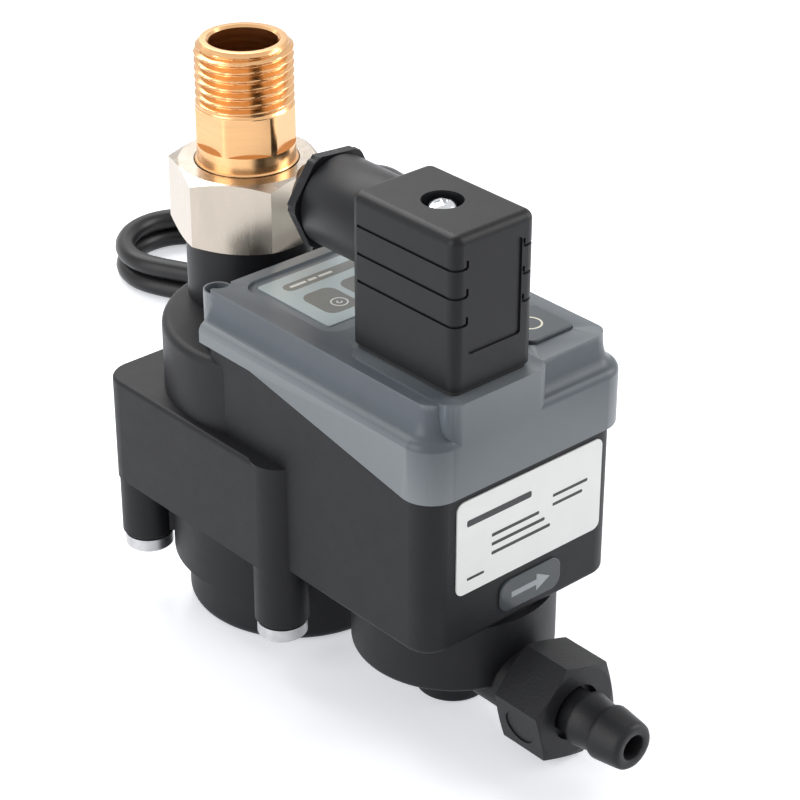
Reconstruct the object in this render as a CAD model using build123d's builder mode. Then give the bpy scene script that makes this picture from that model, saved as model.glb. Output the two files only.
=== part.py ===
from build123d import *
import math
import os

# Automatic condensate drain valve: a plastic reservoir with a union inlet on top,
# a pilot-operated diaphragm valve in front of it, an electronics housing above the
# valve, a square plug connector with its lead, and a hose nozzle at the bottom.
# Frame: +Z up, the nozzle points along -Y, the part stands on Z = 0, and the origin
# is the middle of the part's footprint. All sizes are in millimetres.

os.makedirs("parts", exist_ok=True)

# ---------------------------------------------------------------- clearances
fit_gap = 0.1          # pin in hole, piston in bore, between still parts
run_gap = 0.25         # around parts that turn or slide in the open
seat_gap = 0.1         # between a seat and the moving part that rests near it

# ---------------------------------------------------------------- reservoir
reservoir_offset = 14.2     # inlet axis to reservoir axis, towards the nozzle
reservoir_r = 28.0
reservoir_wall = 3.2
reservoir_top = 69.5
reservoir_roof = 3.5
reservoir_edge_r = 1.8
ring_r = 27.5               # top band of the lower bowl
bowl_r = 24.3
bowl_wall = 3.3
bowl_floor = 3.0
bowl_edge_r = 2.4
ring_low = 12.6             # height at which the bowl widens into its band
part_line = 28.0            # joint between the upper and the lower housing

# ---------------------------------------------------------------- corner block and posts
post_pitch = 47.4
corner_r = 6.2
block_top = 53.2
block_edge_r = 1.0
post_r = 5.9
post_low = 12.9
post_chamfer = 0.9
rib_w = 6.0
housing_screw_r = 2.4
housing_screw_top = 46.0
housing_head_r = 5.4
housing_head_h = 3.1

# ---------------------------------------------------------------- inlet
pipe_r = 13.6
pipe_shoulder = 84.2
pipe_thread_r = 13.1
pipe_thread_h = 11.8
inlet_bore_r = 9.2
gasket_h = 1.3
nipple_flange_r = 12.6
nipple_flange_h = 1.6
nipple_collar_r = 11.05
nipple_body_r = 10.55
nipple_thread_r = 10.4775
nipple_thread_l = 14.4
nipple_top = 127.4
nipple_bore_r = 7.3
nipple_root_r = 9.3
nipple_lead = 1.1           # chamfer at the thread's start
nipple_mouth = 0.7
wrench_flat = 19.6          # width across the two-sided wrench flats
wrench_flat_h = 8.4
wrench_flat_low = 1.6
inlet_nut_af = 30.0
inlet_nut_turn = 8.0        # degrees from +X to a corner
inlet_nut_low = 84.5
inlet_nut_h = 16.1
inlet_lip_h = 1.7

# ---------------------------------------------------------------- valve
valve_offset = 66.0         # inlet axis to valve axis
chamber_r = 21.6
chamber_low = 12.3
chamber_wall = 3.0
chamber_edge_r = 1.4
diaphragm_r = 19.6
diaphragm_t = 1.2
cavity_r = 17.5
seat_r = 6.5
seat_bore_r = 4.0
seat_top = 23.0
foot_r = 8.0
foot_edge_r = 1.0
duct_r = 6.4
duct_bore_r = 4.0
duct_height = 20.5
bonnet_r = 15.0
bonnet_roof = 33.8
bonnet_top = 38.5
bonnet_wall = 5.0
pilot_r = 0.9
disc_r = 8.0
disc_t = 2.0


valve_travel = 1.6
valve_wire_r = 0.4
valve_coil_r = 5.0

# ---------------------------------------------------------------- solenoid
core_flange_r = 8.5
core_flange_h = 2.0
core_tube_r = 5.3
core_bore_r = 4.6
core_bore_top = 58.0
core_top = 70.0
plunger_r = 4.5
plunger_h = 15.4
plunger_pocket_r = 3.4
plunger_pocket_h = 3.0
plunger_travel = 1.5
plunger_wire_r = 0.35
plunger_coil_r = 2.7
coil_r = 16.0
coil_h = 22.0
coil_edge_r = 1.5
yoke_t = 2.0
yoke_w = 16.0
yoke_gap = 0.5
coil_nut_af = 13.0
coil_nut_h = 3.0

# ---------------------------------------------------------------- outlet
outlet_height = 12.2
spigot_r = 7.8
spigot_bore_r = 3.2
nozzle_tip = 118.9          # inlet axis to the nozzle's end
outlet_nut_af = 20.6
outlet_nut_turn = 103.8     # degrees from +X to a corner, about the outlet axis
outlet_nut_back = 90.4      # inlet axis to the nut's rear face
outlet_nut_l = 12.5
outlet_lip = 1.8
outlet_hole_r = 6.2
nut_mark_r = 3.9
nut_mark_depth = 0.3
outlet_gasket_t = 1.1
nozzle_flange_r = 7.7
nozzle_flange_t = 1.9
nozzle_neck_r = 4.9
nozzle_bore_r = 2.7
barb_r = 5.7
barb_root_r = 4.95
barb_start = 105.1          # inlet axis to the rear barb's shoulder
barb_pitch = 5.8
barb_tip_r = 4.5
tip_round = 0.6

# ---------------------------------------------------------------- body under the cover
body_w = 52.6
body_front = 86.3           # inlet axis to the front wall
body_wall = 2.6
body_corner_r = 5.5
body_edge_r = 1.2
body_floor = 3.0
rim_step = 0.8
rim_top = 74.6

# ---------------------------------------------------------------- cover
cover_w = 55.2
cover_front = 88.1          # inlet axis to the cover's front face
cover_rear = 17.6
cover_wall = 1.9
cover_corner_r = 6.8
plateau = 83.9
lid_t = 2.4
shoulder_drop = 8.6
scoop_w = 3.4
scoop_round = 2.0
scoop_turn = 65.0           # degrees turned by the shoulder's round
skirt_front = 63.9
skirt_rear = 72.8
skirt_bend_rear = 34.0      # inlet axis to the point where the skirt starts to drop
skirt_bend_front = 81.0
ledge_inset = 5.9
cover_gasket_t = 1.0
platform_l = 26.4
platform_x = -8.7
platform_rise = 0.6
platform_rear = 57.6
platform_corner_r = 3.0
dish_w = 37.6
dish_l = 29.0
dish_depth = 0.6
dish_y = 35.0
lug_r = 3.1
lug_x = 21.2
lug_y = 16.2
lug_drop = 1.3
cover_screw_r = 1.45
cover_head_r = 2.6
cover_head_h = 2.0
cover_head_seat = 78.0
cover_screw_low = 67.0

# ---------------------------------------------------------------- label, button, plates
label_w = 32.4
label_l = 23.0
label_t = 0.25
label_y = 34.2
label_corner_r = 0.8
light_pipe_r = 1.2
light_pipe_pitch = 10.0
light_pipe_y = 34.8
button_w = 12.0
button_x = 13.9
button_y = 73.0
button_corner_r = 1.6
button_t = 1.5
button_rise = 0.8
button_pocket = 1.55
button_stem_r = 1.6
button_travel = 0.7
plate_w = 40.0
plate_h = 21.5
plate_t = 0.3
plate_x = 1.4
plate_z = 50.6
plate_corner_r = 1.8
pad_w = 17.0
pad_h = 7.4
pad_t = 0.5
pad_x = 1.9
pad_z = 34.2
pad_corner_r = 2.6

# ---------------------------------------------------------------- electronics
board_w = 43.0
board_front = 81.0
board_rear = 24.5
board_t = 1.6
board_low = 72.6
board_post_r = 2.5
board_screw_r = 1.15
board_head_r = 2.2
board_head_h = 1.5
board_screw_l = 7.0
board_inset = 2.6
switch_w = 5.0
switch_h = 3.4
switch_cap_r = 1.7
switch_cap_h = 1.0
button_clip_r = 2.2
button_clip_h = 1.1
sensor_offset = 29.5
sensor_sleeve_r = 3.4
sensor_rod_r = 1.9
sensor_low = 9.0
sensor_tip = 2.0
sensor_flange_r = 6.0
sensor_flange_h = 1.6
sensor_seal_h = 1.0

# ---------------------------------------------------------------- connector
plug_w = 20.9
plug_l = 29.7
plug_h = 32.1
plug_low = 85.6
plug_front = 85.5           # inlet axis to the connector's front face
plug_edge_r = 2.2
plug_side_r = 2.2
plug_wall = 2.0
plug_roof = 5.0
groove_h = 0.6
groove_depth = 0.45
groove_first = 6.6
groove_pitch = 5.85
groove_return = 3.2         # how far a groove wraps onto the front face
notch_w = 0.6
notch_h = 1.6
panel_w = 13.5
panel_h = 20.5
panel_drop = 4.4
panel_depth = 0.4
screw_well_r = 4.2
screw_well_depth = 3.0
plug_screw_r = 1.5
plug_head_r = 2.7
plug_head_h = 1.9
plug_slot_w = 0.8
plug_slot_depth = 0.9
base_w = 14.0
base_flange_w = 15.2
base_flange_t = 1.6
base_top = 87.0
pin_w = 6.0
pin_t = 0.8
pin_low = 75.0
pin_top = 94.0
pin_pitch = 9.4
insert_h = 15.0
insert_low = 87.1
plug_gasket_inset = 0.6
gland_height = 107.1
gland_r = 8.6
gland_end = 41.0            # inlet axis to the gland housing's end
gland_bore_r = 6.3
gland_bore_l = 12.0
cable_bore_r = 4.2
gland_nut_af = 20.0
gland_nut_l = 6.0
gland_cone_l = 1.8
gland_turn = 55.0
gland_seal_l = 6.5
gland_washer_t = 1.0

# ---------------------------------------------------------------- cable
cable_r = 2.8
core_r = 0.9
ferrule_r = 0.75
fold_r = 6 * cable_r        # centre line of the hank's folded ends
hank_run = 30 * cable_r     # straight part between the two folds
hank_band = 2.2 * cable_r   # width of the wound band
hank_layers = 2
hank_stack = 2 * hank_layers * cable_r
hank_turn = -63.0           # degrees from +X to the hank's long axis
hank_at = (97.0, 93.0)      # hank centre, measured from the inlet axis
tail_l = 24.0
core_l = 14.0
ferrule_l = 6.0
core_spread = 1.4

# ---------------------------------------------------------------- derived places
rear_reach = max(
    post_pitch / 2 + corner_r - reservoir_offset,
    inlet_nut_af / math.sqrt(3) * math.sin(math.radians(60 + inlet_nut_turn)),
)
inlet_y = (nozzle_tip - rear_reach) / 2
reservoir_y = inlet_y - reservoir_offset
valve_y = inlet_y - valve_offset
plug_y = inlet_y - plug_front + plug_l / 2
inlet_axis = Axis((0, inlet_y, 0), (0, 0, 1))
post_spots = [
    (x * post_pitch / 2, reservoir_y + y * post_pitch / 2) for x in (-1, 1) for y in (-1, 1)
]
pipe_top = pipe_shoulder + pipe_thread_h
nut_top = inlet_nut_low + inlet_nut_h
shoulder = plateau - shoulder_drop
body_y_front = inlet_y - body_front
cover_y_front = inlet_y - cover_front
cover_y_rear = inlet_y - cover_rear
body_y_rear = cover_y_rear - cover_wall - fit_gap
rim_w = body_w - 2 * rim_step
lid_low = plateau - lid_t
ledge = rim_top + cover_gasket_t
dish_floor = plateau - dish_depth
board_top = board_low + board_t
board_spots = [
    (x * (board_w / 2 - board_inset), inlet_y - y)
    for x in (-1, 1)
    for y in (board_front - board_inset, board_rear + board_inset)
]
lug_spots = [(x * lug_x, inlet_y - lug_y) for x in (-1, 1)]
platform_top = plateau + platform_rise
plug_top = plug_low + plug_h


def plan(width, front, rear, corner, height):
    """Outline of a box in plan, with its two front corners rounded."""
    with BuildSketch(Plane.XY.offset(height)) as outline:
        with Locations((0, (front + rear) / 2)):
            Rectangle(width, rear - front)
        fillet(outline.vertices().group_by(Axis.Y)[0], corner)
    return outline.sketch


def nut_form(across_flats, length, low_chamfer, high_chamfer):
    """Solid of revolution that trims a hexagon's corners at both ends."""
    reach = across_flats / math.sqrt(3) + 0.2
    face = across_flats / 2 * 0.97
    with BuildPart() as form:
        with BuildSketch(Plane.XZ):
            with BuildLine():
                Polyline(
                    (0, 0), (face, 0), (reach, low_chamfer), (reach, length - high_chamfer),
                    (face, length), (0, length), close=True,
                )
            make_face()
        revolve(axis=Axis.Z)
    return form.part


def spring(radius, wire_r, low, high, turns, x, y):
    """Helical compression spring between two seats."""
    rise = high - low - 2 * wire_r
    with BuildPart() as coil:
        with BuildLine() as path:
            Helix(pitch=rise / turns, height=rise, radius=radius)
        with BuildSketch(Plane(origin=path.line @ 0, z_dir=path.line % 0)):
            RegularPolygon(wire_r, 6)
        sweep(path=path.line, is_frenet=True)
    return coil.part.moved(Location((x, y, low + wire_r)))


def skirt_region(drop):
    """Block above the cover skirt's lower edge, as seen from the side, lowered by a gap."""
    front = cover_y_front - 5
    rear = cover_y_rear + 5
    with BuildPart() as region:
        with BuildSketch(Plane.YZ.offset(-cover_w)):
            with BuildLine():
                FilletPolyline(
                    (rear, skirt_rear - drop),
                    (inlet_y - skirt_bend_rear, skirt_rear - drop),
                    (inlet_y - skirt_bend_front, skirt_front - drop),
                    (front, skirt_front - drop),
                    radius=10,
                )
                Polyline(
                    (front, skirt_front - drop),
                    (front, plateau + 20),
                    (rear, plateau + 20),
                    (rear, skirt_rear - drop),
                )
            make_face()
        extrude(amount=2 * cover_w)
    return region.part


# ================================================================ upper housing
with BuildPart() as reservoir_shell:
    with BuildSketch(Plane.XY.offset(part_line)):
        with Locations((0, reservoir_y)):
            Circle(reservoir_r)
    extrude(amount=reservoir_top - part_line)
    fillet(reservoir_shell.edges().group_by(Axis.Z)[-1], reservoir_edge_r)

with BuildPart() as corner_block:
    with BuildSketch(Plane.XY.offset(part_line)):
        with Locations((0, reservoir_y)):
            RectangleRounded(post_pitch + 2 * corner_r, post_pitch + 2 * corner_r, corner_r)
    extrude(amount=block_top - part_line)
    fillet(corner_block.edges().group_by(Axis.Z)[-1], block_edge_r)


with BuildPart() as body_box:
    add(plan(body_w, body_y_front, body_y_rear, body_corner_r, part_line))
    extrude(amount=rim_top - part_line)
    bottom = body_box.edges().group_by(Axis.Z)[0]
    fillet(bottom.filter_by(lambda e: e.center().Y < body_y_rear - fit_gap), body_edge_r)
    # above the skirt's edge the wall steps in to make the rim inside the cover
    add(skirt_region(run_gap), mode=Mode.SUBTRACT)
    add(plan(rim_w, body_y_front + rim_step, body_y_rear, body_corner_r - rim_step, part_line + 5))
    extrude(amount=rim_top - part_line - 5)

with BuildPart() as compartment:
    add(plan(
        body_w - 2 * body_wall,
        body_y_front + body_wall,
        body_y_rear - body_wall,
        body_corner_r - body_wall,
        part_line + body_floor,
    ))
    extrude(amount=rim_top - part_line - body_floor)
    with BuildSketch(Plane.XY):
        with Locations((0, reservoir_y)):
            Circle(reservoir_r)
    extrude(amount=reservoir_top, mode=Mode.SUBTRACT)


with BuildPart() as main_housing:
    add(reservoir_shell.part)
    add(corner_block.part)
    add(body_box.part)
    add(compartment.part, mode=Mode.SUBTRACT)
    # bosses for the front housing screws, inside the compartment
    with BuildSketch(Plane.XY.offset(part_line)):
        with Locations(*[spot for spot in post_spots if spot[1] < reservoir_y]):
            Circle(corner_r)
    extrude(amount=block_top - part_line)
    # bonnet boss over the diaphragm
    with BuildSketch(Plane.XY.offset(part_line)):
        with Locations((0, valve_y)):
            Circle(bonnet_r + bonnet_wall)
    extrude(amount=bonnet_top - part_line)
    with BuildSketch(Plane.XY.offset(bonnet_top)):
        with Locations((0, valve_y)):
            Circle(2.0)
    extrude(amount=0.5)
    # bosses for the cover screws, on the reservoir's roof
    with BuildSketch(Plane.XY.offset(reservoir_top - reservoir_roof)):
        with Locations(*lug_spots):
            Circle(lug_r)
    extrude(amount=skirt_rear - fit_gap - reservoir_top + reservoir_roof)
    # inlet pipe with its shoulder and thread
    with BuildSketch(Plane.XY.offset(reservoir_top - reservoir_roof)):
        with Locations((0, inlet_y)):
            Circle(pipe_r)
    extrude(amount=pipe_shoulder - reservoir_top + reservoir_roof)
    with BuildSketch(Plane.XY.offset(pipe_shoulder)):
        with Locations((0, inlet_y)):
            Circle(pipe_thread_r)
    extrude(amount=pipe_thread_h)
    # level sensor mount
    with BuildSketch(Plane.XY.offset(reservoir_top)):
        with Locations((0, inlet_y - sensor_offset)):
            Circle(sensor_flange_r + 1)
    extrude(amount=-reservoir_roof)
    # hollows: reservoir, inlet, bonnet, pilot hole, screw holes
    with BuildSketch(Plane.XY.offset(part_line)):
        with Locations((0, reservoir_y)):
            Circle(reservoir_r - reservoir_wall)
    extrude(amount=reservoir_top - reservoir_roof - part_line, mode=Mode.SUBTRACT)
    with BuildSketch(Plane.XY.offset(part_line)):
        with Locations((0, inlet_y)):
            Circle(inlet_bore_r)
    extrude(amount=pipe_top - part_line, mode=Mode.SUBTRACT)
    with BuildSketch(Plane.XY.offset(part_line)):
        with Locations((0, valve_y)):
            Circle(bonnet_r)
    extrude(amount=bonnet_roof - part_line, mode=Mode.SUBTRACT)
    with BuildSketch(Plane.XY.offset(part_line)):
        with Locations((0, valve_y)):
            Circle(pilot_r)
    extrude(amount=bonnet_top + 1 - part_line, mode=Mode.SUBTRACT)
    with BuildSketch(Plane.XY.offset(part_line)):
        with Locations(*post_spots):
            Circle(housing_screw_r + fit_gap)
    extrude(amount=housing_screw_top + 1 - part_line, mode=Mode.SUBTRACT)
    with BuildSketch(Plane.XY.offset(cover_screw_low - 0.5)):
        with Locations(*lug_spots):
            Circle(cover_screw_r)
    extrude(amount=skirt_rear - cover_screw_low + 1, mode=Mode.SUBTRACT)
    with BuildSketch(Plane.XY.offset(reservoir_top - reservoir_roof - 1)):
        with Locations((0, inlet_y - sensor_offset)):
            Circle(sensor_sleeve_r + fit_gap)
    extrude(amount=reservoir_roof + 2, mode=Mode.SUBTRACT)

# ================================================================ lower housing
with BuildPart() as bowl:
    with BuildSketch():
        with Locations((0, reservoir_y)):
            Circle(bowl_r)
    extrude(amount=ring_low)
    fillet(bowl.edges().group_by(Axis.Z)[0], bowl_edge_r)
    with BuildSketch(Plane.XY.offset(ring_low)):
        with Locations((0, reservoir_y)):
            Circle(ring_r)
    extrude(amount=part_line - ring_low)

with BuildPart() as posts:
    with BuildSketch(Plane.XY.offset(post_low)):
        with Locations(*post_spots):
            Circle(post_r)
    extrude(amount=part_line - post_low)
    chamfer(posts.edges().group_by(Axis.Z)[0], post_chamfer)
    # ribs between the posts and the bowl's band
    with BuildSketch(Plane.XY.offset(ring_low + 2)):
        with Locations((0, reservoir_y)):
            for turn in (45, 135):
                Rectangle(post_pitch * math.sqrt(2), rib_w, rotation=turn)
            Circle(ring_r - 3, mode=Mode.SUBTRACT)
    extrude(amount=part_line - ring_low - 2)

with BuildPart() as valve_chamber:
    with BuildSketch(Plane.XY.offset(chamber_low)):
        with Locations((0, valve_y)):
            Circle(chamber_r)
    extrude(amount=part_line - chamber_low)
    fillet(valve_chamber.edges().group_by(Axis.Z)[0], chamber_edge_r)

with BuildPart() as foot:
    with BuildSketch():
        with Locations((0, valve_y)):
            Circle(foot_r)
    extrude(amount=chamber_low + 1)
    fillet(foot.edges().group_by(Axis.Z)[0], foot_edge_r)

nozzle_flange_y = inlet_y - outlet_nut_back - outlet_nut_l + outlet_lip + fit_gap
spigot_end_y = nozzle_flange_y + nozzle_flange_t + outlet_gasket_t

with BuildPart() as lower_housing:
    add(bowl.part)
    add(posts.part)
    add(valve_chamber.part)
    add(foot.part)
    # outlet spigot and the web that holds the duct
    with BuildSketch(Plane(origin=(0, spigot_end_y, outlet_height), z_dir=(0, 1, 0))):
        Circle(spigot_r)
    extrude(amount=valve_y - spigot_end_y)
    with BuildSketch(Plane.XY.offset(duct_height - duct_r)):
        with Locations((0, (valve_y + reservoir_y) / 2)):
            Rectangle(2 * duct_r, reservoir_y - valve_y)
    extrude(amount=part_line - duct_height + duct_r)
    # reservoir cavity
    with BuildSketch(Plane.XY.offset(bowl_floor)):
        with Locations((0, reservoir_y)):
            Circle(bowl_r - bowl_wall)
    extrude(amount=part_line - bowl_floor, mode=Mode.SUBTRACT)
    with BuildSketch(Plane.XY.offset(ring_low + bowl_floor)):
        with Locations((0, reservoir_y)):
            Circle(reservoir_r - reservoir_wall)
    extrude(amount=part_line - ring_low - bowl_floor, mode=Mode.SUBTRACT)
    # valve cavity and diaphragm seat
    with BuildSketch(Plane.XY.offset(chamber_low + chamber_wall)):
        with Locations((0, valve_y)):
            Circle(cavity_r)
    extrude(amount=part_line - chamber_low - chamber_wall, mode=Mode.SUBTRACT)
    with BuildSketch(Plane.XY.offset(part_line - diaphragm_t)):
        with Locations((0, valve_y)):
            Circle(diaphragm_r)
    extrude(amount=diaphragm_t, mode=Mode.SUBTRACT)
    # seat column, duct, outlet bore
    with BuildSketch(Plane.XY.offset(outlet_height)):
        with Locations((0, valve_y)):
            Circle(seat_r)
    extrude(amount=seat_top - outlet_height)
    with BuildSketch(Plane.XY.offset(outlet_height)):
        with Locations((0, valve_y)):
            Circle(seat_bore_r)
    extrude(amount=seat_top - outlet_height, mode=Mode.SUBTRACT)
    with BuildSketch(Plane(origin=(0, spigot_end_y, outlet_height), z_dir=(0, 1, 0))):
        Circle(spigot_bore_r)
    extrude(amount=valve_y - spigot_end_y, mode=Mode.SUBTRACT)
    duct_start_y = valve_y + cavity_r - 2
    with BuildSketch(Plane(origin=(0, duct_start_y, duct_height), z_dir=(0, 1, 0))):
        Circle(duct_bore_r)
    extrude(amount=reservoir_y - reservoir_r + 8 - duct_start_y, mode=Mode.SUBTRACT)
    # through holes for the housing screws
    with BuildSketch(Plane.XY.offset(post_low)):
        with Locations(*post_spots):
            Circle(housing_screw_r + fit_gap)
    extrude(amount=part_line - post_low, mode=Mode.SUBTRACT)
    # groove for the housing gasket
    with BuildSketch(Plane.XY.offset(part_line - cover_gasket_t)):
        with Locations((0, reservoir_y)):
            Circle(ring_r - 0.9)
            Circle(reservoir_r - reservoir_wall + 0.4, mode=Mode.SUBTRACT)
    extrude(amount=cover_gasket_t, mode=Mode.SUBTRACT)

with BuildPart() as housing_gasket:
    with BuildSketch(Plane.XY.offset(part_line - cover_gasket_t)):
        with Locations((0, reservoir_y)):
            Circle(ring_r - 0.9)
            Circle(reservoir_r - reservoir_wall + 0.4, mode=Mode.SUBTRACT)
    extrude(amount=cover_gasket_t)

with BuildPart() as housing_screws:
    with BuildSketch(Plane.XY.offset(post_low)):
        with Locations(*post_spots):
            Circle(housing_head_r)
    extrude(amount=-housing_head_h)
    chamfer(housing_screws.edges().group_by(Axis.Z)[0], 0.4)
    with BuildSketch(Plane.XY.offset(post_low - housing_head_h)):
        with Locations(*post_spots):
            RegularPolygon(2.3, 6)
    extrude(amount=1.6, mode=Mode.SUBTRACT)
    with BuildSketch(Plane.XY.offset(post_low)):
        with Locations(*post_spots):
            Circle(housing_screw_r)
    extrude(amount=housing_screw_top - post_low)

# ================================================================ inlet union
with BuildPart() as inlet_gasket:
    with BuildSketch(Plane.XY.offset(pipe_top)):
        with Locations((0, inlet_y)):
            Circle(nipple_flange_r)
            Circle(inlet_bore_r, mode=Mode.SUBTRACT)
    extrude(amount=gasket_h)

flange_low = pipe_top + gasket_h
flange_top = flange_low + nipple_flange_h
collar_top = nut_top + 0.5
thread_low = nipple_top - nipple_thread_l
thread_pitch = 1.814

with BuildPart() as inlet_nipple:
    with BuildSketch(Plane.XZ.offset(-inlet_y)):
        with BuildLine():
            Polyline(
                (nipple_bore_r, flange_low), (nipple_flange_r, flange_low),
                (nipple_flange_r, flange_top), (nipple_collar_r, flange_top),
                (nipple_collar_r, collar_top), (nipple_body_r, collar_top),
                (nipple_body_r, thread_low), (nipple_root_r, thread_low),
                (nipple_root_r, nipple_top), (nipple_bore_r + nipple_mouth, nipple_top),
                (nipple_bore_r, nipple_top - nipple_mouth), close=True,
            )
        make_face()
        # thread crests
        crest = thread_low + 0.4 * thread_pitch
        while crest < nipple_top - nipple_lead - thread_pitch / 2:
            with BuildLine():
                Polyline(
                    (nipple_root_r - 0.2, crest), (nipple_root_r, crest),
                    (nipple_thread_r, crest + 0.36 * thread_pitch),
                    (nipple_thread_r, crest + 0.56 * thread_pitch),
                    (nipple_root_r, crest + 0.92 * thread_pitch),
                    (nipple_root_r - 0.2, crest + 0.92 * thread_pitch), close=True,
                )
            make_face()
            crest += thread_pitch
    revolve(axis=inlet_axis)
    # wrench flats on both sides
    with BuildSketch(Plane.XY.offset(collar_top + wrench_flat_low)):
        with Locations((0, inlet_y)):
            Rectangle(60, 60)
            Rectangle(wrench_flat, 60, mode=Mode.SUBTRACT)
    extrude(amount=wrench_flat_h, mode=Mode.SUBTRACT)

with BuildPart() as inlet_nut:
    with BuildSketch(Plane.XY.offset(inlet_nut_low)):
        with Locations((0, inlet_y)):
            RegularPolygon(inlet_nut_af / 2, 6, major_radius=False, rotation=inlet_nut_turn)
    extrude(amount=inlet_nut_h)
    add(
        nut_form(inlet_nut_af, inlet_nut_h, 1.3, 1.3).moved(Location((0, inlet_y, inlet_nut_low))),
        mode=Mode.INTERSECT,
    )
    with BuildSketch(Plane.XY.offset(inlet_nut_low)):
        with Locations((0, inlet_y)):
            Circle(pipe_thread_r + run_gap)
    extrude(amount=inlet_nut_h - inlet_lip_h, mode=Mode.SUBTRACT)
    with BuildSketch(Plane.XY.offset(inlet_nut_low)):
        with Locations((0, inlet_y)):
            Circle(nipple_collar_r + run_gap)
    extrude(amount=inlet_nut_h, mode=Mode.SUBTRACT)

# ================================================================ outlet union
nut_back_y = inlet_y - outlet_nut_back
outlet_plane = Plane(origin=(0, nut_back_y, outlet_height), x_dir=(1, 0, 0), z_dir=(0, -1, 0))

with BuildPart() as outlet_nut:
    with BuildSketch(outlet_plane):
        RegularPolygon(outlet_nut_af / 2, 6, major_radius=False, rotation=outlet_nut_turn)
    extrude(amount=outlet_nut_l)
    add(
        nut_form(outlet_nut_af, outlet_nut_l, 0.5, 0.5).moved(outlet_plane.location),
        mode=Mode.INTERSECT,
    )
    with BuildSketch(outlet_plane):
        Circle(spigot_r + run_gap)
    extrude(amount=outlet_nut_l - outlet_lip, mode=Mode.SUBTRACT)
    with BuildSketch(outlet_plane):
        Circle(outlet_hole_r)
    extrude(amount=outlet_nut_l, mode=Mode.SUBTRACT)
    # round mould mark on the lower left flat
    mark_turn = math.radians(outlet_nut_turn + 90)
    mark_dir = (math.cos(mark_turn), 0, math.sin(mark_turn))
    mark_at = outlet_nut_af / 2 - nut_mark_depth
    with BuildSketch(Plane(
        origin=(mark_dir[0] * mark_at, nut_back_y - outlet_nut_l / 2, outlet_height + mark_dir[2] * mark_at),
        z_dir=mark_dir,
    )):
        Circle(nut_mark_r)
    extrude(amount=2, mode=Mode.SUBTRACT)

with BuildPart() as outlet_gasket:
    with BuildSketch(Plane(origin=(0, spigot_end_y, outlet_height), z_dir=(0, -1, 0))):
        Circle(spigot_r)
        Circle(spigot_bore_r, mode=Mode.SUBTRACT)
    extrude(amount=outlet_gasket_t)

flange_at = outlet_nut_l - outlet_lip - fit_gap
barb_1 = barb_start - outlet_nut_back
barb_2 = barb_1 + barb_pitch
tip = nozzle_tip - outlet_nut_back
nozzle_plane = Plane(origin=(0, nut_back_y, outlet_height), x_dir=(0, -1, 0), z_dir=(-1, 0, 0))

with BuildPart() as outlet_nozzle:
    with BuildSketch(nozzle_plane):
        with BuildLine():
            Polyline(
                (flange_at - nozzle_flange_t, nozzle_bore_r),
                (flange_at - nozzle_flange_t, nozzle_flange_r),
                (flange_at, nozzle_flange_r), (flange_at, nozzle_neck_r),
                (barb_1, nozzle_neck_r), (barb_1, barb_r), (barb_1 + 0.8, barb_r),
                (barb_2, barb_root_r), (barb_2, barb_r - 0.2), (barb_2 + 1.2, barb_r - 0.2),
                (tip - tip_round, barb_tip_r), (tip, barb_tip_r - tip_round),
                (tip, nozzle_bore_r), close=True,
            )
        make_face()
    revolve(axis=Axis((0, nut_back_y, outlet_height), (0, -1, 0)))

# ================================================================ diaphragm valve
disc_low = seat_top + seat_gap + diaphragm_t
disc_boss_r = valve_coil_r - valve_wire_r - 0.3

with BuildPart() as diaphragm:
    with BuildSketch(Plane.XZ.offset(-valve_y)):
        with BuildLine():
            Polyline(
                (0, seat_top + seat_gap), (disc_r + 1.5, seat_top + seat_gap),
                (bonnet_r - 1, part_line - diaphragm_t), (diaphragm_r, part_line - diaphragm_t),
                (diaphragm_r, part_line), (bonnet_r - 1.5, part_line),
                (disc_r + 1, disc_low), (0, disc_low), close=True,
            )
        make_face()
    revolve(axis=Axis((0, valve_y, 0), (0, 0, 1)))

with BuildPart() as diaphragm_disc:
    with BuildSketch(Plane.XY.offset(disc_low)):
        with Locations((0, valve_y)):
            Circle(disc_r)
    extrude(amount=disc_t)
    chamfer(diaphragm_disc.edges().group_by(Axis.Z)[-1], 0.4)
    with BuildSketch(Plane.XY.offset(disc_low + disc_t)):
        with Locations((0, valve_y)):
            Circle(disc_boss_r)
    extrude(amount=1.5)

# ================================================================ solenoid
yoke_low = bonnet_top + core_flange_h
coil_low = yoke_low + yoke_t
coil_top = coil_low + coil_h
yoke_top = coil_top + yoke_t
plunger_low = bonnet_top + 0.5 + seat_gap

with BuildPart() as core_tube:
    with BuildSketch(Plane.XY.offset(bonnet_top)):
        with Locations((0, valve_y)):
            Circle(core_flange_r)
    extrude(amount=core_flange_h)
    with BuildSketch(Plane.XY.offset(bonnet_top)):
        with Locations((0, valve_y)):
            Circle(core_tube_r)
    extrude(amount=core_top - bonnet_top)
    chamfer(core_tube.edges().group_by(Axis.Z)[-1], 0.5)
    with BuildSketch(Plane.XY.offset(bonnet_top)):
        with Locations((0, valve_y)):
            Circle(core_bore_r)
    extrude(amount=core_bore_top - bonnet_top, mode=Mode.SUBTRACT)

with BuildPart() as plunger:
    with BuildSketch(Plane.XY.offset(plunger_low)):
        with Locations((0, valve_y)):
            Circle(plunger_r)
    extrude(amount=plunger_h)
    chamfer(plunger.edges().group_by(Axis.Z)[0], 0.4)
    with BuildSketch(Plane.XY.offset(plunger_low + plunger_h)):
        with Locations((0, valve_y)):
            Circle(plunger_pocket_r)
    extrude(amount=-plunger_pocket_h, mode=Mode.SUBTRACT)

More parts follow.
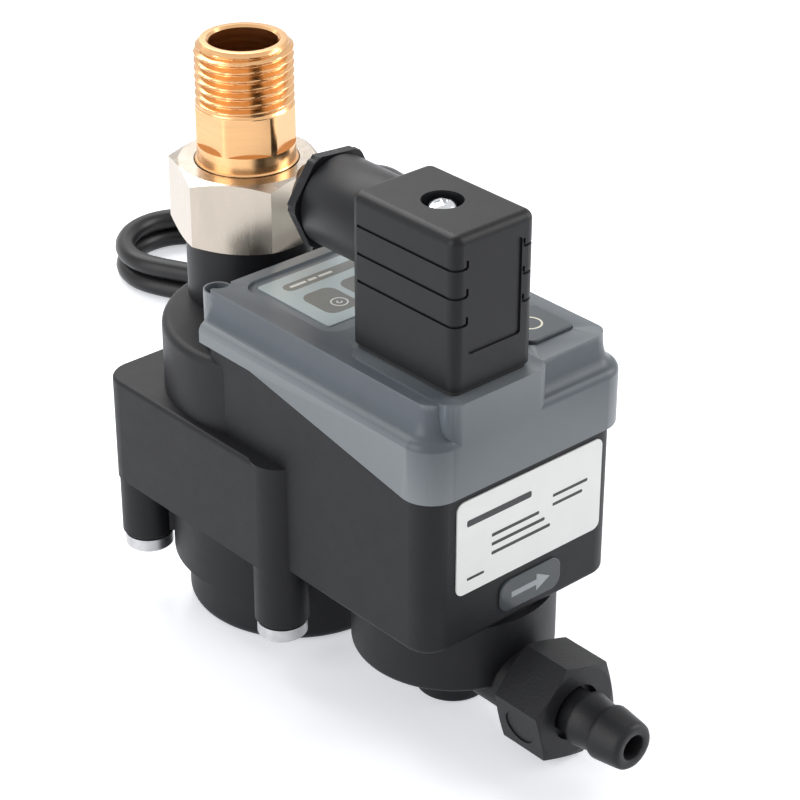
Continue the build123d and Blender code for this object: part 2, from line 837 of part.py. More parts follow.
with BuildPart() as solenoid_coil:
    with BuildSketch(Plane.XY.offset(coil_low)):
        with Locations((0, valve_y)):
            Circle(coil_r)
    extrude(amount=coil_h)
    fillet(solenoid_coil.edges().filter_by(GeomType.CIRCLE), coil_edge_r)
    with BuildSketch(Plane.XY.offset(coil_low)):
        with Locations((0, valve_y)):
            Circle(core_tube_r + fit_gap)
    extrude(amount=coil_h, mode=Mode.SUBTRACT)

with BuildPart() as solenoid_yoke:
    yoke_reach = coil_r + yoke_gap + yoke_t
    with BuildSketch(Plane.XZ.offset(-valve_y + yoke_w / 2)):
        with Locations((0, (yoke_low + yoke_top) / 2)):
            Rectangle(2 * yoke_reach, yoke_top - yoke_low)
            Rectangle(2 * yoke_reach - 2 * yoke_t, coil_h, mode=Mode.SUBTRACT)
    extrude(amount=-yoke_w)
    with BuildSketch(Plane.XY.offset(yoke_low)):
        with Locations((0, valve_y)):
            Circle(core_tube_r + fit_gap)
    extrude(amount=yoke_top - yoke_low, mode=Mode.SUBTRACT)

with BuildPart() as coil_nut:
    with BuildSketch(Plane.XY.offset(yoke_top)):
        with Locations((0, valve_y)):
            RegularPolygon(coil_nut_af / 2, 6, major_radius=False)
            Circle(core_tube_r, mode=Mode.SUBTRACT)
    extrude(amount=coil_nut_h)

with BuildPart() as plunger_spring:
    add(spring(
        plunger_coil_r, plunger_wire_r, plunger_low + plunger_h - plunger_pocket_h, core_bore_top,
        4, 0, valve_y,
    ))

with BuildPart() as valve_spring:
    add(spring(valve_coil_r, valve_wire_r, disc_low + disc_t, bonnet_roof, 3, 0, valve_y))

# ================================================================ cover
with BuildPart() as scoop:
    with BuildLine() as shoulder_path:
        FilletPolyline(
            (-cover_w / 2, cover_y_rear + 1, shoulder),
            (-cover_w / 2, cover_y_front, shoulder),
            (cover_w / 2, cover_y_front, shoulder),
            (cover_w / 2, cover_y_rear + 1, shoulder),
            radius=cover_corner_r,
        )
    turn = math.radians(scoop_turn)
    round_end = (scoop_round * (1 - math.cos(turn)), scoop_round * math.sin(turn))
    scoop_start = Plane(origin=shoulder_path.line @ 0, x_dir=(1, 0, 0), z_dir=(0, -1, 0))
    with BuildSketch(scoop_start):
        with BuildLine():
            Line((-2, 0), (0, 0))
            TangentArc((0, 0), round_end, tangent=(0, 1))
            Spline(
                round_end, (scoop_w, shoulder_drop),
                tangents=[(math.sin(turn), math.cos(turn)), (0, 1)],
            )
            Polyline((scoop_w, shoulder_drop), (scoop_w, shoulder_drop + 1), (-2, shoulder_drop + 1), (-2, 0))
        make_face()
    sweep(path=shoulder_path.line)

with BuildPart() as cover:
    add(plan(cover_w, cover_y_front, cover_y_rear, cover_corner_r, skirt_front - 1))
    extrude(amount=plateau - skirt_front + 1)
    add(scoop.part, mode=Mode.SUBTRACT)
    # raised platform for the connector
    with BuildSketch(Plane.XY.offset(shoulder - 1)):
        with Locations((platform_x, inlet_y - (cover_front + platform_rear) / 2)):
            RectangleRounded(platform_l, cover_front - platform_rear, platform_corner_r)
    extrude(amount=platform_top - shoulder + 1)
    # screw lugs at the rear corners
    with BuildSketch(Plane.XY.offset(skirt_rear)):
        with Locations(*lug_spots):
            Circle(lug_r)
    extrude(amount=plateau - lug_drop - skirt_rear)
    # inside: wide below the gasket ledge, narrow above it
    add(plan(
        cover_w - 2 * cover_wall, cover_y_front + cover_wall, cover_y_rear - cover_wall,
        cover_corner_r - cover_wall, skirt_front - 2,
    ))
    extrude(amount=ledge - skirt_front + 2, mode=Mode.SUBTRACT)
    add(plan(
        cover_w - 2 * ledge_inset, cover_y_front + ledge_inset, cover_y_rear - ledge_inset,
        cover_corner_r - ledge_inset, ledge - 1,
    ))
    extrude(amount=lid_low - ledge + 1, mode=Mode.SUBTRACT)
    # lower edge of the skirt drops towards the front
    add(skirt_region(0), mode=Mode.INTERSECT)
    # bosses for the circuit board
    with BuildSketch(Plane.XY.offset(board_top)):
        with Locations(*board_spots):
            Circle(board_post_r)
            Circle(board_screw_r, mode=Mode.SUBTRACT)
    extrude(amount=lid_low - board_top)
    # shallow dish for the label
    with BuildSketch(Plane.XY.offset(dish_floor)):
        with Locations((0, inlet_y - dish_y)):
            RectangleRounded(dish_w, dish_l, 4)
    extrude(amount=dish_depth, mode=Mode.SUBTRACT)
    # button pocket and stem hole
    with BuildSketch(Plane.XY.offset(plateau - button_pocket)):
        with Locations((button_x, inlet_y - button_y)):
            RectangleRounded(
                button_w + 2 * run_gap, button_w + 2 * run_gap, button_corner_r + run_gap,
            )
    extrude(amount=button_pocket, mode=Mode.SUBTRACT)
    with BuildSketch(Plane.XY.offset(lid_low)):
        with Locations((button_x, inlet_y - button_y)):
            Circle(button_stem_r + run_gap)
    extrude(amount=lid_t, mode=Mode.SUBTRACT)
    # light pipe holes
    with BuildSketch(Plane.XY.offset(lid_low)):
        with Locations((0, inlet_y - light_pipe_y)):
            with GridLocations(light_pipe_pitch, 1, 3, 1):
                Circle(light_pipe_r)
    extrude(amount=lid_t, mode=Mode.SUBTRACT)
    # opening for the connector base
    with BuildSketch(Plane.XY.offset(lid_low)):
        with Locations((platform_x, plug_y)):
            Rectangle(base_w + 2 * fit_gap, base_w + 2 * fit_gap)
    extrude(amount=platform_top - lid_low, mode=Mode.SUBTRACT)
    # rear screw holes, with room for the heads
    with BuildSketch(Plane.XY.offset(skirt_rear)):
        with Locations(*lug_spots):
            Circle(cover_screw_r + fit_gap)
    extrude(amount=plateau - skirt_rear, mode=Mode.SUBTRACT)
    with BuildSketch(Plane.XY.offset(cover_head_seat)):
        with Locations(*lug_spots):
            Circle(cover_head_r + fit_gap)
    extrude(amount=plateau - cover_head_seat, mode=Mode.SUBTRACT)

with BuildPart() as cover_gasket:
    with BuildSketch(Plane.XY.offset(rim_top)):
        add(
            plan(
                rim_w - 0.4, body_y_front + rim_step + 0.2,
                body_y_rear - 0.2, body_corner_r - rim_step, rim_top,
            )
        )
        add(
            plan(
                body_w - 2 * body_wall + 0.4, body_y_front + body_wall - 0.2,
                body_y_rear - body_wall + 0.2, body_corner_r - body_wall, rim_top,
            ),
            mode=Mode.SUBTRACT,
        )
    extrude(amount=cover_gasket_t)

with BuildPart() as cover_screws:
    with BuildSketch(Plane.XY.offset(cover_head_seat)):
        with Locations(*lug_spots):
            Circle(cover_head_r)
    extrude(amount=cover_head_h)
    fillet(cover_screws.edges().group_by(Axis.Z)[-1], 0.4)
    with BuildSketch(Plane.XY.offset(cover_head_seat + cover_head_h)):
        with Locations(*lug_spots):
            Rectangle(2.6, 0.6)
            Rectangle(0.6, 2.6)
    extrude(amount=-1.1, mode=Mode.SUBTRACT)
    with BuildSketch(Plane.XY.offset(cover_head_seat)):
        with Locations(*lug_spots):
            Circle(cover_screw_r)
    extrude(amount=cover_screw_low - cover_head_seat)

# ================================================================ label, button, plates
with BuildPart() as membrane_label:
    with BuildSketch(Plane.XY.offset(dish_floor)):
        with Locations((0, inlet_y - label_y)):
            RectangleRounded(label_w, label_l, label_corner_r)
    extrude(amount=label_t)

with BuildPart() as light_pipes:
    with BuildSketch(Plane.XY.offset(board_top + 1.5)):
        with Locations((0, inlet_y - light_pipe_y)):
            with GridLocations(light_pipe_pitch, 1, 3, 1):
                Circle(light_pipe_r)
    extrude(amount=dish_floor - board_top - 1.5)

cap_top = board_top + switch_h + switch_cap_h

with BuildPart() as test_button:
    with BuildSketch(Plane.XY.offset(plateau + button_rise - button_t)):
        with Locations((button_x, inlet_y - button_y)):
            RectangleRounded(button_w, button_w, button_corner_r)
    extrude(amount=button_t)
    fillet(test_button.edges().group_by(Axis.Z)[-1], 0.35)
    with BuildSketch(Plane.XY.offset(cap_top + button_travel + 0.05)):
        with Locations((button_x, inlet_y - button_y)):
            Circle(button_stem_r)
    extrude(until=Until.NEXT)
    # snap collar under the lid
    with BuildSketch(Plane.XY.offset(lid_low - seat_gap)):
        with Locations((button_x, inlet_y - button_y)):
            Circle(button_clip_r)
    extrude(amount=-button_clip_h)

with BuildPart() as tact_switch:
    with BuildSketch(Plane.XY.offset(board_top)):
        with Locations((button_x, inlet_y - button_y)):
            Rectangle(switch_w, switch_w)
    extrude(amount=switch_h)
    with BuildSketch(Plane.XY.offset(board_top + switch_h)):
        with Locations((button_x, inlet_y - button_y)):
            Circle(switch_cap_r)
    extrude(amount=switch_cap_h)

with BuildPart() as data_plate:
    with BuildSketch(Plane(origin=(plate_x, body_y_front, plate_z), x_dir=(1, 0, 0), z_dir=(0, -1, 0))):
        RectangleRounded(plate_w, plate_h, plate_corner_r)
    extrude(amount=plate_t)

with BuildPart() as outlet_pad:
    with BuildSketch(Plane(origin=(pad_x, body_y_front, pad_z), x_dir=(1, 0, 0), z_dir=(0, -1, 0))):
        RectangleRounded(pad_w, pad_h, pad_corner_r)
    extrude(amount=pad_t)
    fillet(outlet_pad.edges().group_by(Axis.Y)[0], 0.3)

# ================================================================ electronics
with BuildPart() as circuit_board:
    with BuildSketch(Plane.XY.offset(board_low)):
        with Locations((0, inlet_y - (board_front + board_rear) / 2)):
            Rectangle(board_w, board_front - board_rear)
        with Locations(*board_spots):
            Circle(board_screw_r + fit_gap, mode=Mode.SUBTRACT)
    extrude(amount=board_t)

with BuildPart() as board_screws:
    with BuildSketch(Plane.XY.offset(board_low)):
        with Locations(*board_spots):
            Circle(board_head_r)
    extrude(amount=-board_head_h)
    with BuildSketch(Plane.XY.offset(board_low)):
        with Locations(*board_spots):
            Circle(board_screw_r)
    extrude(amount=board_screw_l)

sensor_y = inlet_y - sensor_offset

with BuildPart() as level_sensor:
    with BuildSketch(Plane.XY.offset(sensor_low + sensor_tip)):
        with Locations((0, sensor_y)):
            Circle(sensor_rod_r)
    extrude(amount=reservoir_top - sensor_low - sensor_tip)
    with BuildSketch(Plane.XY.offset(sensor_low)):
        with Locations((0, sensor_y)):
            Circle(sensor_rod_r + 0.6)
    extrude(amount=sensor_tip)
    with BuildSketch(Plane.XY.offset(reservoir_top - reservoir_roof - 3)):
        with Locations((0, sensor_y)):
            Circle(sensor_sleeve_r)
    extrude(amount=reservoir_roof + 3)
    with BuildSketch(Plane.XY.offset(reservoir_top + sensor_seal_h)):
        with Locations((0, sensor_y)):
            Circle(sensor_flange_r)
    extrude(amount=sensor_flange_h)
    with BuildSketch(Plane.XY.offset(reservoir_top)):
        with Locations((0, sensor_y)):
            Circle(sensor_sleeve_r)
    extrude(amount=sensor_seal_h)

with BuildPart() as sensor_seal:
    with BuildSketch(Plane.XY.offset(reservoir_top)):
        with Locations((0, sensor_y)):
            Circle(sensor_flange_r - 0.5)
            Circle(sensor_sleeve_r, mode=Mode.SUBTRACT)
    extrude(amount=sensor_seal_h)

# ================================================================ connector
pin_places = [
    Location((platform_x - pin_pitch / 2, plug_y, 0)),
    Location((platform_x + pin_pitch / 2, plug_y, 0)),
    Location((platform_x, plug_y + 5.5, 0), (0, 0, 90)),
]

with BuildPart() as connector_pins:
    for place in pin_places:
        with Locations(place):
            with Locations((0, 0, (pin_low + pin_top) / 2)):
                Box(pin_t, pin_w, pin_top - pin_low)
    chamfer(connector_pins.edges().group_by(Axis.Z)[-1], 0.25)

with BuildPart() as connector_base:
    with BuildSketch(Plane.XY.offset(lid_low - base_flange_t)):
        with Locations((platform_x, plug_y)):
            Rectangle(base_flange_w, base_flange_w)
    extrude(amount=base_flange_t)
    with BuildSketch(Plane.XY.offset(lid_low)):
        with Locations((platform_x, plug_y)):
            Rectangle(base_w, base_w)
    extrude(amount=base_top - lid_low)
    with BuildSketch(Plane.XY.offset(83)):
        with Locations((platform_x, plug_y)):
            Circle(plug_screw_r)
    extrude(amount=base_top - 83, mode=Mode.SUBTRACT)
    for place in pin_places:
        with Locations(place):
            with Locations((0, 0, lid_low)):
                Box(pin_t, pin_w, 20, mode=Mode.SUBTRACT)

with BuildPart() as connector_gasket:
    with BuildSketch(Plane.XY.offset(platform_top)):
        with Locations((platform_x, plug_y)):
            RectangleRounded(plug_w - 2 * plug_gasket_inset, plug_l - 2 * plug_gasket_inset, 1.6)
            Rectangle(base_w + 1, base_w + 1, mode=Mode.SUBTRACT)
    extrude(amount=plug_low - platform_top)

plug_rear_y = plug_y + plug_l / 2
gland_end_y = inlet_y - gland_end
gland_plane = Plane(origin=(platform_x, gland_end_y, gland_height), x_dir=(1, 0, 0), z_dir=(0, -1, 0))

with BuildPart() as connector_housing:
    with BuildSketch(Plane.XY.offset(plug_low)):
        with Locations((platform_x, plug_y)):
            RectangleRounded(plug_w, plug_l, plug_side_r)
    extrude(amount=plug_h)
    fillet(connector_housing.edges().group_by(Axis.Z)[-1], plug_edge_r - 0.3)
    # gland housing
    with BuildSketch(gland_plane):
        Circle(gland_r)
    extrude(amount=gland_end_y - plug_rear_y + 3)
    # cavity, gland bore, cable bore
    with BuildSketch(Plane.XY.offset(plug_low)):
        with Locations((platform_x, plug_y)):
            RectangleRounded(plug_w - 2 * plug_wall, plug_l - 2 * plug_wall, 0.8)
    extrude(amount=plug_h - plug_roof, mode=Mode.SUBTRACT)
    with BuildSketch(gland_plane):
        Circle(gland_bore_r)
    extrude(amount=gland_bore_l, mode=Mode.SUBTRACT)
    with BuildSketch(gland_plane):
        Circle(cable_bore_r)
    extrude(amount=gland_end_y - plug_rear_y + 4, mode=Mode.SUBTRACT)
    # screw well
    with BuildSketch(Plane.XY.offset(plug_top)):
        with Locations((platform_x, plug_y)):
            Circle(screw_well_r)
    extrude(amount=-screw_well_depth, mode=Mode.SUBTRACT)
    with BuildSketch(Plane.XY.offset(plug_top)):
        with Locations((platform_x, plug_y)):
            Circle(plug_screw_r + fit_gap)
    extrude(amount=-plug_roof - 1, mode=Mode.SUBTRACT)
    # grip grooves round the sides, each with a notch at its front ends
    for step in range(3):
        groove_z = plug_top - groove_first - step * groove_pitch
        with BuildSketch(Plane.XY.offset(groove_z - groove_h / 2)):
            with Locations((platform_x, plug_y)):
                Rectangle(plug_w + 2, plug_l + 2)
                RectangleRounded(
                    plug_w - 2 * groove_depth, plug_l - 2 * groove_depth, plug_side_r - groove_depth,
                    mode=Mode.SUBTRACT,
                )
                Rectangle(plug_w - 2 * groove_return, plug_l + 3, mode=Mode.SUBTRACT)
            with Locations((platform_x, plug_rear_y)):
                Rectangle(plug_w + 3, 2 * plug_side_r, mode=Mode.SUBTRACT)
        extrude(amount=groove_h, mode=Mode.SUBTRACT)
        with BuildSketch(Plane.XY.offset(groove_z)):
            with Locations((platform_x, plug_y - plug_l / 2)):
                with GridLocations(plug_w - 2 * groove_return, 1, 2, 1):
                    Rectangle(notch_w, 2 * groove_depth)
        extrude(amount=notch_h, mode=Mode.SUBTRACT)
    # recessed front panel
    panel_plane = Plane(
        origin=(platform_x, plug_y - plug_l / 2, plug_top - panel_drop - panel_h / 2),
        x_dir=(1, 0, 0), z_dir=(0, -1, 0),
    )
    with BuildSketch(panel_plane):
        RectangleRounded(panel_w, panel_h, 0.8)
    extrude(amount=-panel_depth, mode=Mode.SUBTRACT)

with BuildPart() as connector_screw:
    with BuildSketch(Plane.XY.offset(plug_top - screw_well_depth)):
        with Locations((platform_x, plug_y)):
            Circle(plug_head_r)
    extrude(amount=plug_head_h)
    fillet(connector_screw.edges().group_by(Axis.Z)[-1], 0.4)
    with BuildSketch(Plane.XY.offset(plug_top - screw_well_depth + plug_head_h)):
        with Locations((platform_x, plug_y)):
            Rectangle(2 * plug_head_r + 1, plug_slot_w)
    extrude(amount=-plug_slot_depth, mode=Mode.SUBTRACT)
    with BuildSketch(Plane.XY.offset(plug_top - screw_well_depth)):
        with Locations((platform_x, plug_y)):
            Circle(plug_screw_r)
    extrude(amount=83.1 - plug_top + screw_well_depth)

insert_top = insert_low + insert_h
terminal_spots = [
    (platform_x - pin_pitch / 2, plug_y - 8),
    (platform_x + pin_pitch / 2, plug_y - 8),
    (platform_x, plug_y + 9.5),
]

with BuildPart() as terminal_insert:
    with BuildSketch(Plane.XY.offset(insert_low)):
        with Locations((platform_x, plug_y)):
            RectangleRounded(plug_w - 2 * plug_wall - 0.4, plug_l - 2 * plug_wall - 0.4, 0.6)
            Circle(plug_screw_r + 0.3, mode=Mode.SUBTRACT)
        with Locations(*terminal_spots):
            Circle(1.2, mode=Mode.SUBTRACT)
    extrude(amount=insert_h)
    for place in pin_places:
        with Locations(place):
            with Locations((0, 0, insert_low)):
                Box(pin_t + 0.3, pin_w + 0.3, 2 * (pin_top - insert_low + 0.5), mode=Mode.SUBTRACT)

with BuildPart() as terminal_screws:
    with BuildSketch(Plane.XY.offset(insert_top)):
        with Locations(*terminal_spots):
            Circle(1.9)
    extrude(amount=1.3)
    with BuildSketch(Plane.XY.offset(insert_top)):
        with Locations(*terminal_spots):
            Circle(1.2)
    extrude(amount=-6)
    with BuildSketch(Plane.XY.offset(insert_top + 1.3)):
        with Locations(*terminal_spots):
            Rectangle(4, 0.6)
    extrude(amount=-0.6, mode=Mode.SUBTRACT)

gland_sleeve_l = gland_bore_l - gland_seal_l - gland_washer_t
gland_hole_r = cable_r + 0.3

with BuildPart() as gland_nut:
    with BuildSketch(gland_plane):
        RegularPolygon(gland_nut_af / 2, 6, major_radius=False, rotation=gland_turn)
    extrude(amount=-gland_nut_l)
    add(
        nut_form(gland_nut_af, gland_nut_l, gland_cone_l, 0.5).moved(
            gland_plane.offset(-gland_nut_l).location
        ),
        mode=Mode.INTERSECT,
    )
    with BuildSketch(gland_plane):
        Circle(gland_bore_r - 0.1)
    extrude(amount=gland_sleeve_l)
    with BuildSketch(gland_plane.offset(gland_sleeve_l)):
        Circle(gland_hole_r)
    extrude(amount=-gland_sleeve_l - gland_nut_l, mode=Mode.SUBTRACT)

with BuildPart() as gland_washer:
    with BuildSketch(gland_plane.offset(gland_sleeve_l)):
        Circle(gland_bore_r - 0.1)
        Circle(gland_hole_r, mode=Mode.SUBTRACT)
    extrude(amount=gland_washer_t)

with BuildPart() as gland_seal:
    with BuildSketch(gland_plane.offset(gland_sleeve_l + gland_washer_t)):
        Circle(gland_bore_r)
        Circle(cable_r, mode=Mode.SUBTRACT)
    extrude(amount=gland_seal_l)

# ================================================================ cable
lead_start = 44.0           # inlet axis to the face where the free cable starts
stub_end = 59.0

with BuildPart() as cable_stub:
    stub_plane = Plane(
        origin=(platform_x, inlet_y - lead_start, gland_height), x_dir=(1, 0, 0), z_dir=(0, -1, 0)
    )
    with BuildSketch(stub_plane):
        Circle(cable_r)
    extrude(amount=stub_end - lead_start)
    with BuildSketch(stub_plane.offset(stub_end - lead_start)):
        with PolarLocations(1.4, 3):
            Circle(core_r)
    extrude(amount=4)

# Hank of cable: its long axis, and the ends of its turns on the side that the cable joins
hank_axis = Vector(1, 0).rotate(Axis.Z, hank_turn)
hank_side = hank_axis.rotate(Axis.Z, 90)
hank_centre = Vector(hank_at[0], inlet_y + hank_at[1])
fold_end = hank_centre + hank_axis * (hank_run / 2 + fold_r)
turn_end = hank_centre + hank_axis * (hank_run / 2) - hank_side * fold_r

# Route of the free cable: across, behind the inlet axis, height above the floor
route = [
    (platform_x, -lead_start, gland_height),
    (platform_x, -30.0, gland_height),
    (1.5, -20.5, 103.7),
    (14.5, -19.5, 98.5),
    (29.0, -16.0, 92.0),
    (40.0, -11.0, 76.0),
    (46.5, -6.5, 53.0),
    (52.5, -1.0, 26.0),
    (64.0, 8.0, cable_r),
    (85.0, 20.6, cable_r),
    (104.5, 31.2, cable_r),
    (fold_end.X, fold_end.Y - inlet_y, cable_r),
]
route = [Vector(x, inlet_y + y, z) for x, y, z in route]
radii = []
for before, corner, after in zip(route, route[1:], route[2:]):
    bend = (corner - before).get_angle(after - corner)
    shorter = min((corner - before).length, (after - corner).length)
    radii.append(0.45 * shorter / math.tan(math.radians(bend / 2)))
print("cable bend radii:", [round(radius, 1) for radius in radii])
print("cable runs:", [round((b - a).length, 1) for a, b in zip(route, route[1:])])

with BuildPart() as cable_coil:
    with BuildSketch():
        with Locations((hank_centre.X, hank_centre.Y)):
            SlotCenterToCenter(hank_run, 2 * fold_r + hank_band, rotation=hank_turn)
            SlotCenterToCenter(
                hank_run, 2 * fold_r - hank_band, rotation=hank_turn, mode=Mode.SUBTRACT
            )
    extrude(amount=hank_stack)
    chamfer(cable_coil.edges().filter_by(Plane.XY), cable_r / 2)

with BuildPart() as cable_lead:
    with BuildLine() as lead_path:
        FilletPolyline(*route, radius=radii)
    with BuildSketch(Plane(origin=lead_path.line @ 0, z_dir=lead_path.line % 0)):
        Circle(cable_r)
    sweep(path=lead_path.line)
    lead_length = sum(edge.length for edge in lead_path.edges())
    print("cable lead: length", round(lead_length, 1),
          "volume", round(cable_lead.part.volume, 1),
          "section x length", round(math.pi * cable_r**2 * lead_length, 1))
    add(cable_coil.part, mode=Mode.SUBTRACT)

with BuildPart() as cable_cores:
    tail_height = hank_stack - cable_r + fit_gap
    tail_plane = Plane(
        origin=(turn_end.X, turn_end.Y, tail_height),
        x_dir=(0, 0, 1),
        z_dir=(hank_axis.X, hank_axis.Y, 0),
    )
    with BuildSketch(tail_plane.offset(-2 * cable_r)):
        Circle(cable_r)
    extrude(amount=tail_l + 2 * cable_r)
    add(cable_coil.part, mode=Mode.SUBTRACT)
    with BuildSketch(tail_plane.offset(tail_l)):
        with PolarLocations(core_spread, 3):
            Circle(core_r)
    extrude(amount=core_l)
    with BuildSketch(tail_plane.offset(tail_l + core_l)):
        with PolarLocations(core_spread, 3):
            Circle(ferrule_r)
    extrude(amount=ferrule_l)

# ================================================================ export
pieces = {
    "main_housing": main_housing,
    "lower_housing": lower_housing,
    "housing_gasket": housing_gasket,
    "housing_screws": housing_screws,
    "inlet_gasket": inlet_gasket,
    "inlet_nipple": inlet_nipple,
    "inlet_nut": inlet_nut,
    "outlet_nut": outlet_nut,
    "outlet_gasket": outlet_gasket,
    "outlet_nozzle": outlet_nozzle,
    "diaphragm": diaphragm,
    "diaphragm_disc": diaphragm_disc,
    "valve_spring": valve_spring,
    "core_tube": core_tube,
    "plunger": plunger,
    "plunger_spring": plunger_spring,
    "solenoid_coil": solenoid_coil,
    "solenoid_yoke": solenoid_yoke,
    "coil_nut": coil_nut,
    "cover": cover,
    "cover_gasket": cover_gasket,
    "cover_screws": cover_screws,
    "membrane_label": membrane_label,
    "light_pipes": light_pipes,
    "test_button": test_button,
    "tact_switch": tact_switch,
    "data_plate": data_plate,
    "outlet_pad": outlet_pad,
    "circuit_board": circuit_board,
    "board_screws": board_screws,
    "level_sensor": level_sensor,
    "sensor_seal": sensor_seal,
    "connector_base": connector_base,
    "connector_pins": connector_pins,
    "connector_gasket": connector_gasket,
    "connector_housing": connector_housing,
    "connector_screw": connector_screw,
    "terminal_insert": terminal_insert,
    "terminal_screws": terminal_screws,
    "gland_nut": gland_nut,
    "gland_washer": gland_washer,
    "gland_seal": gland_seal,
    "cable_stub": cable_stub,
    "cable_lead": cable_lead,
    "cable_coil": cable_coil,
    "cable_cores": cable_cores,
}
for name, piece in pieces.items():
    piece.part.label = name
    export_step(piece.part, f"parts/{name}.step")
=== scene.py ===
import math

import bmesh
import bpy
from mathutils import Matrix, Vector


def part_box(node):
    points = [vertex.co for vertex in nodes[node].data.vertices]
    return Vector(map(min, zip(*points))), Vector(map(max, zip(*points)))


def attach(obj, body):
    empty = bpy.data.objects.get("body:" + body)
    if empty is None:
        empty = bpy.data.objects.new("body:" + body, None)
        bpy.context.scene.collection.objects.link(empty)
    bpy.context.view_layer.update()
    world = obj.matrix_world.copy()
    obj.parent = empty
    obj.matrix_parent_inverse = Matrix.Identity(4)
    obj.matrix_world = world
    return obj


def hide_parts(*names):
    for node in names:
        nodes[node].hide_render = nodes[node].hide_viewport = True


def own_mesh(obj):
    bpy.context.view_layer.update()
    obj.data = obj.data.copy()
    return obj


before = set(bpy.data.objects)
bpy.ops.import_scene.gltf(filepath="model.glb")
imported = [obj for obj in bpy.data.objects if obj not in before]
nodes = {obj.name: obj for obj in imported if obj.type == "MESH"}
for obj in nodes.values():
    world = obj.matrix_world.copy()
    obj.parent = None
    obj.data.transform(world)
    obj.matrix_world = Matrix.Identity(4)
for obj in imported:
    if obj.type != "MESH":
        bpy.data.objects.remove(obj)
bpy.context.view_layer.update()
scene = bpy.context.scene
MM = 0.001
scene.view_settings.view_transform = "Standard"

# ---------------------------------------------------------------- places taken from the frame
nipple_lo, nipple_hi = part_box("inlet_nipple")
inlet_y = (nipple_lo.y + nipple_hi.y) / 2
GLAND_AXIS = (-8.7, 107.1)              # across and height of the plug's cable outlet, in mm


def inlet_point(across, behind, height):
    """A point given in millimetres from the inlet axis and above the floor."""
    return Vector((across * MM, inlet_y + behind * MM, height * MM))


# ---------------------------------------------------------------- camera
CAMERA_TURN = math.radians(-41.74)
CAMERA_RISE = math.radians(29.34)
CAMERA_ROLL = math.radians(0.12)
CAMERA_TARGET = (-0.92, -50.0, 62.8)    # mm, as for inlet_point
CAMERA_DISTANCE = 0.514
CAMERA_SENSOR = 36
CAMERA_LENS = 112.14


def make_camera():
    """Camera that looks down on the drain from its plug end, as in the photograph."""
    target = inlet_point(*CAMERA_TARGET)
    back = Vector((
        math.sin(CAMERA_TURN) * math.cos(CAMERA_RISE), -math.cos(CAMERA_TURN) * math.cos(CAMERA_RISE),
        math.sin(CAMERA_RISE),
    ))
    right = (-back).cross(Vector((0, 0, 1))).normalized()
    up = right.cross(-back)
    right, up = (
        right * math.cos(CAMERA_ROLL) + up * math.sin(CAMERA_ROLL),
        up * math.cos(CAMERA_ROLL) - right * math.sin(CAMERA_ROLL),
    )
    camera = bpy.data.objects.new("camera", bpy.data.cameras.new("camera"))
    scene.collection.objects.link(camera)
    camera.data.sensor_width = CAMERA_SENSOR
    camera.data.lens = CAMERA_LENS
    camera.data.clip_start = 0.02
    camera.data.clip_end = 20
    turn_matrix = Matrix((right, up, back)).transposed().to_4x4()
    camera.matrix_world = Matrix.Translation(target + back * CAMERA_DISTANCE) @ turn_matrix
    scene.camera = camera


make_camera()


# ---------------------------------------------------------------- node material helpers
GRAIN_DEPTH = 0.00006                   # m, of moulded surfaces
TOOL_MARK_DEPTH = 0.00005               # m, of machined surfaces


def new_material(name):
    """Node material; returns it with its node tree and its main shader."""
    material = bpy.data.materials.new(name)
    material.use_nodes = True
    tree = material.node_tree
    shader = tree.nodes["Principled BSDF"]
    return material, tree, shader


def noise(tree, scale, detail=3.0, roughness=0.55, stretch=None):
    """Noise on object coordinates, optionally stretched along one axis."""
    coords = tree.nodes.new("ShaderNodeTexCoord")
    mapping = tree.nodes.new("ShaderNodeMapping")
    if stretch:
        mapping.inputs["Scale"].default_value = stretch
    texture = tree.nodes.new("ShaderNodeTexNoise")
    texture.inputs["Scale"].default_value = scale
    texture.inputs["Detail"].default_value = detail
    texture.inputs["Roughness"].default_value = roughness
    tree.links.new(coords.outputs["Object"], mapping.inputs["Vector"])
    tree.links.new(mapping.outputs["Vector"], texture.inputs["Vector"])
    return texture.outputs["Fac"]


def ramp(tree, value, low, high, start=0.3, stop=0.7):
    """Maps a value onto two colours."""
    node = tree.nodes.new("ShaderNodeValToRGB")
    node.color_ramp.elements[0].position = start
    node.color_ramp.elements[0].color = (*low, 1)
    node.color_ramp.elements[1].position = stop
    node.color_ramp.elements[1].color = (*high, 1)
    tree.links.new(value, node.inputs["Fac"])
    return node.outputs["Color"]


def spread(tree, value, low, high):
    """Maps a 0..1 value onto a range."""
    node = tree.nodes.new("ShaderNodeMapRange")
    node.inputs["To Min"].default_value = low
    node.inputs["To Max"].default_value = high
    tree.links.new(value, node.inputs["Value"])
    return node.outputs["Result"]


def bump(tree, shader, height, strength, distance):
    """Raises the surface's shading by a height value."""
    node = tree.nodes.new("ShaderNodeBump")
    node.inputs["Strength"].default_value = strength
    node.inputs["Distance"].default_value = distance
    tree.links.new(height, node.inputs["Height"])
    tree.links.new(node.outputs["Normal"], shader.inputs["Normal"])


def painted_edge_highlight(tree, base, highlight_colour, low=0.52, high=0.60):
    """Paints a highlight on convex edges: lightens them a little, by the surface's pointiness."""
    geometry = tree.nodes.new("ShaderNodeNewGeometry")
    mask = tree.nodes.new("ShaderNodeMapRange")
    mask.inputs["From Min"].default_value = low
    mask.inputs["From Max"].default_value = high
    tree.links.new(geometry.outputs["Pointiness"], mask.inputs["Value"])
    mix = tree.nodes.new("ShaderNodeMix")
    mix.data_type = "RGBA"
    tree.links.new(mask.outputs["Result"], mix.inputs["Factor"])
    tree.links.new(base, mix.inputs["A"])
    mix.inputs["B"].default_value = (*highlight_colour, 1)
    return mix.outputs["Result"]


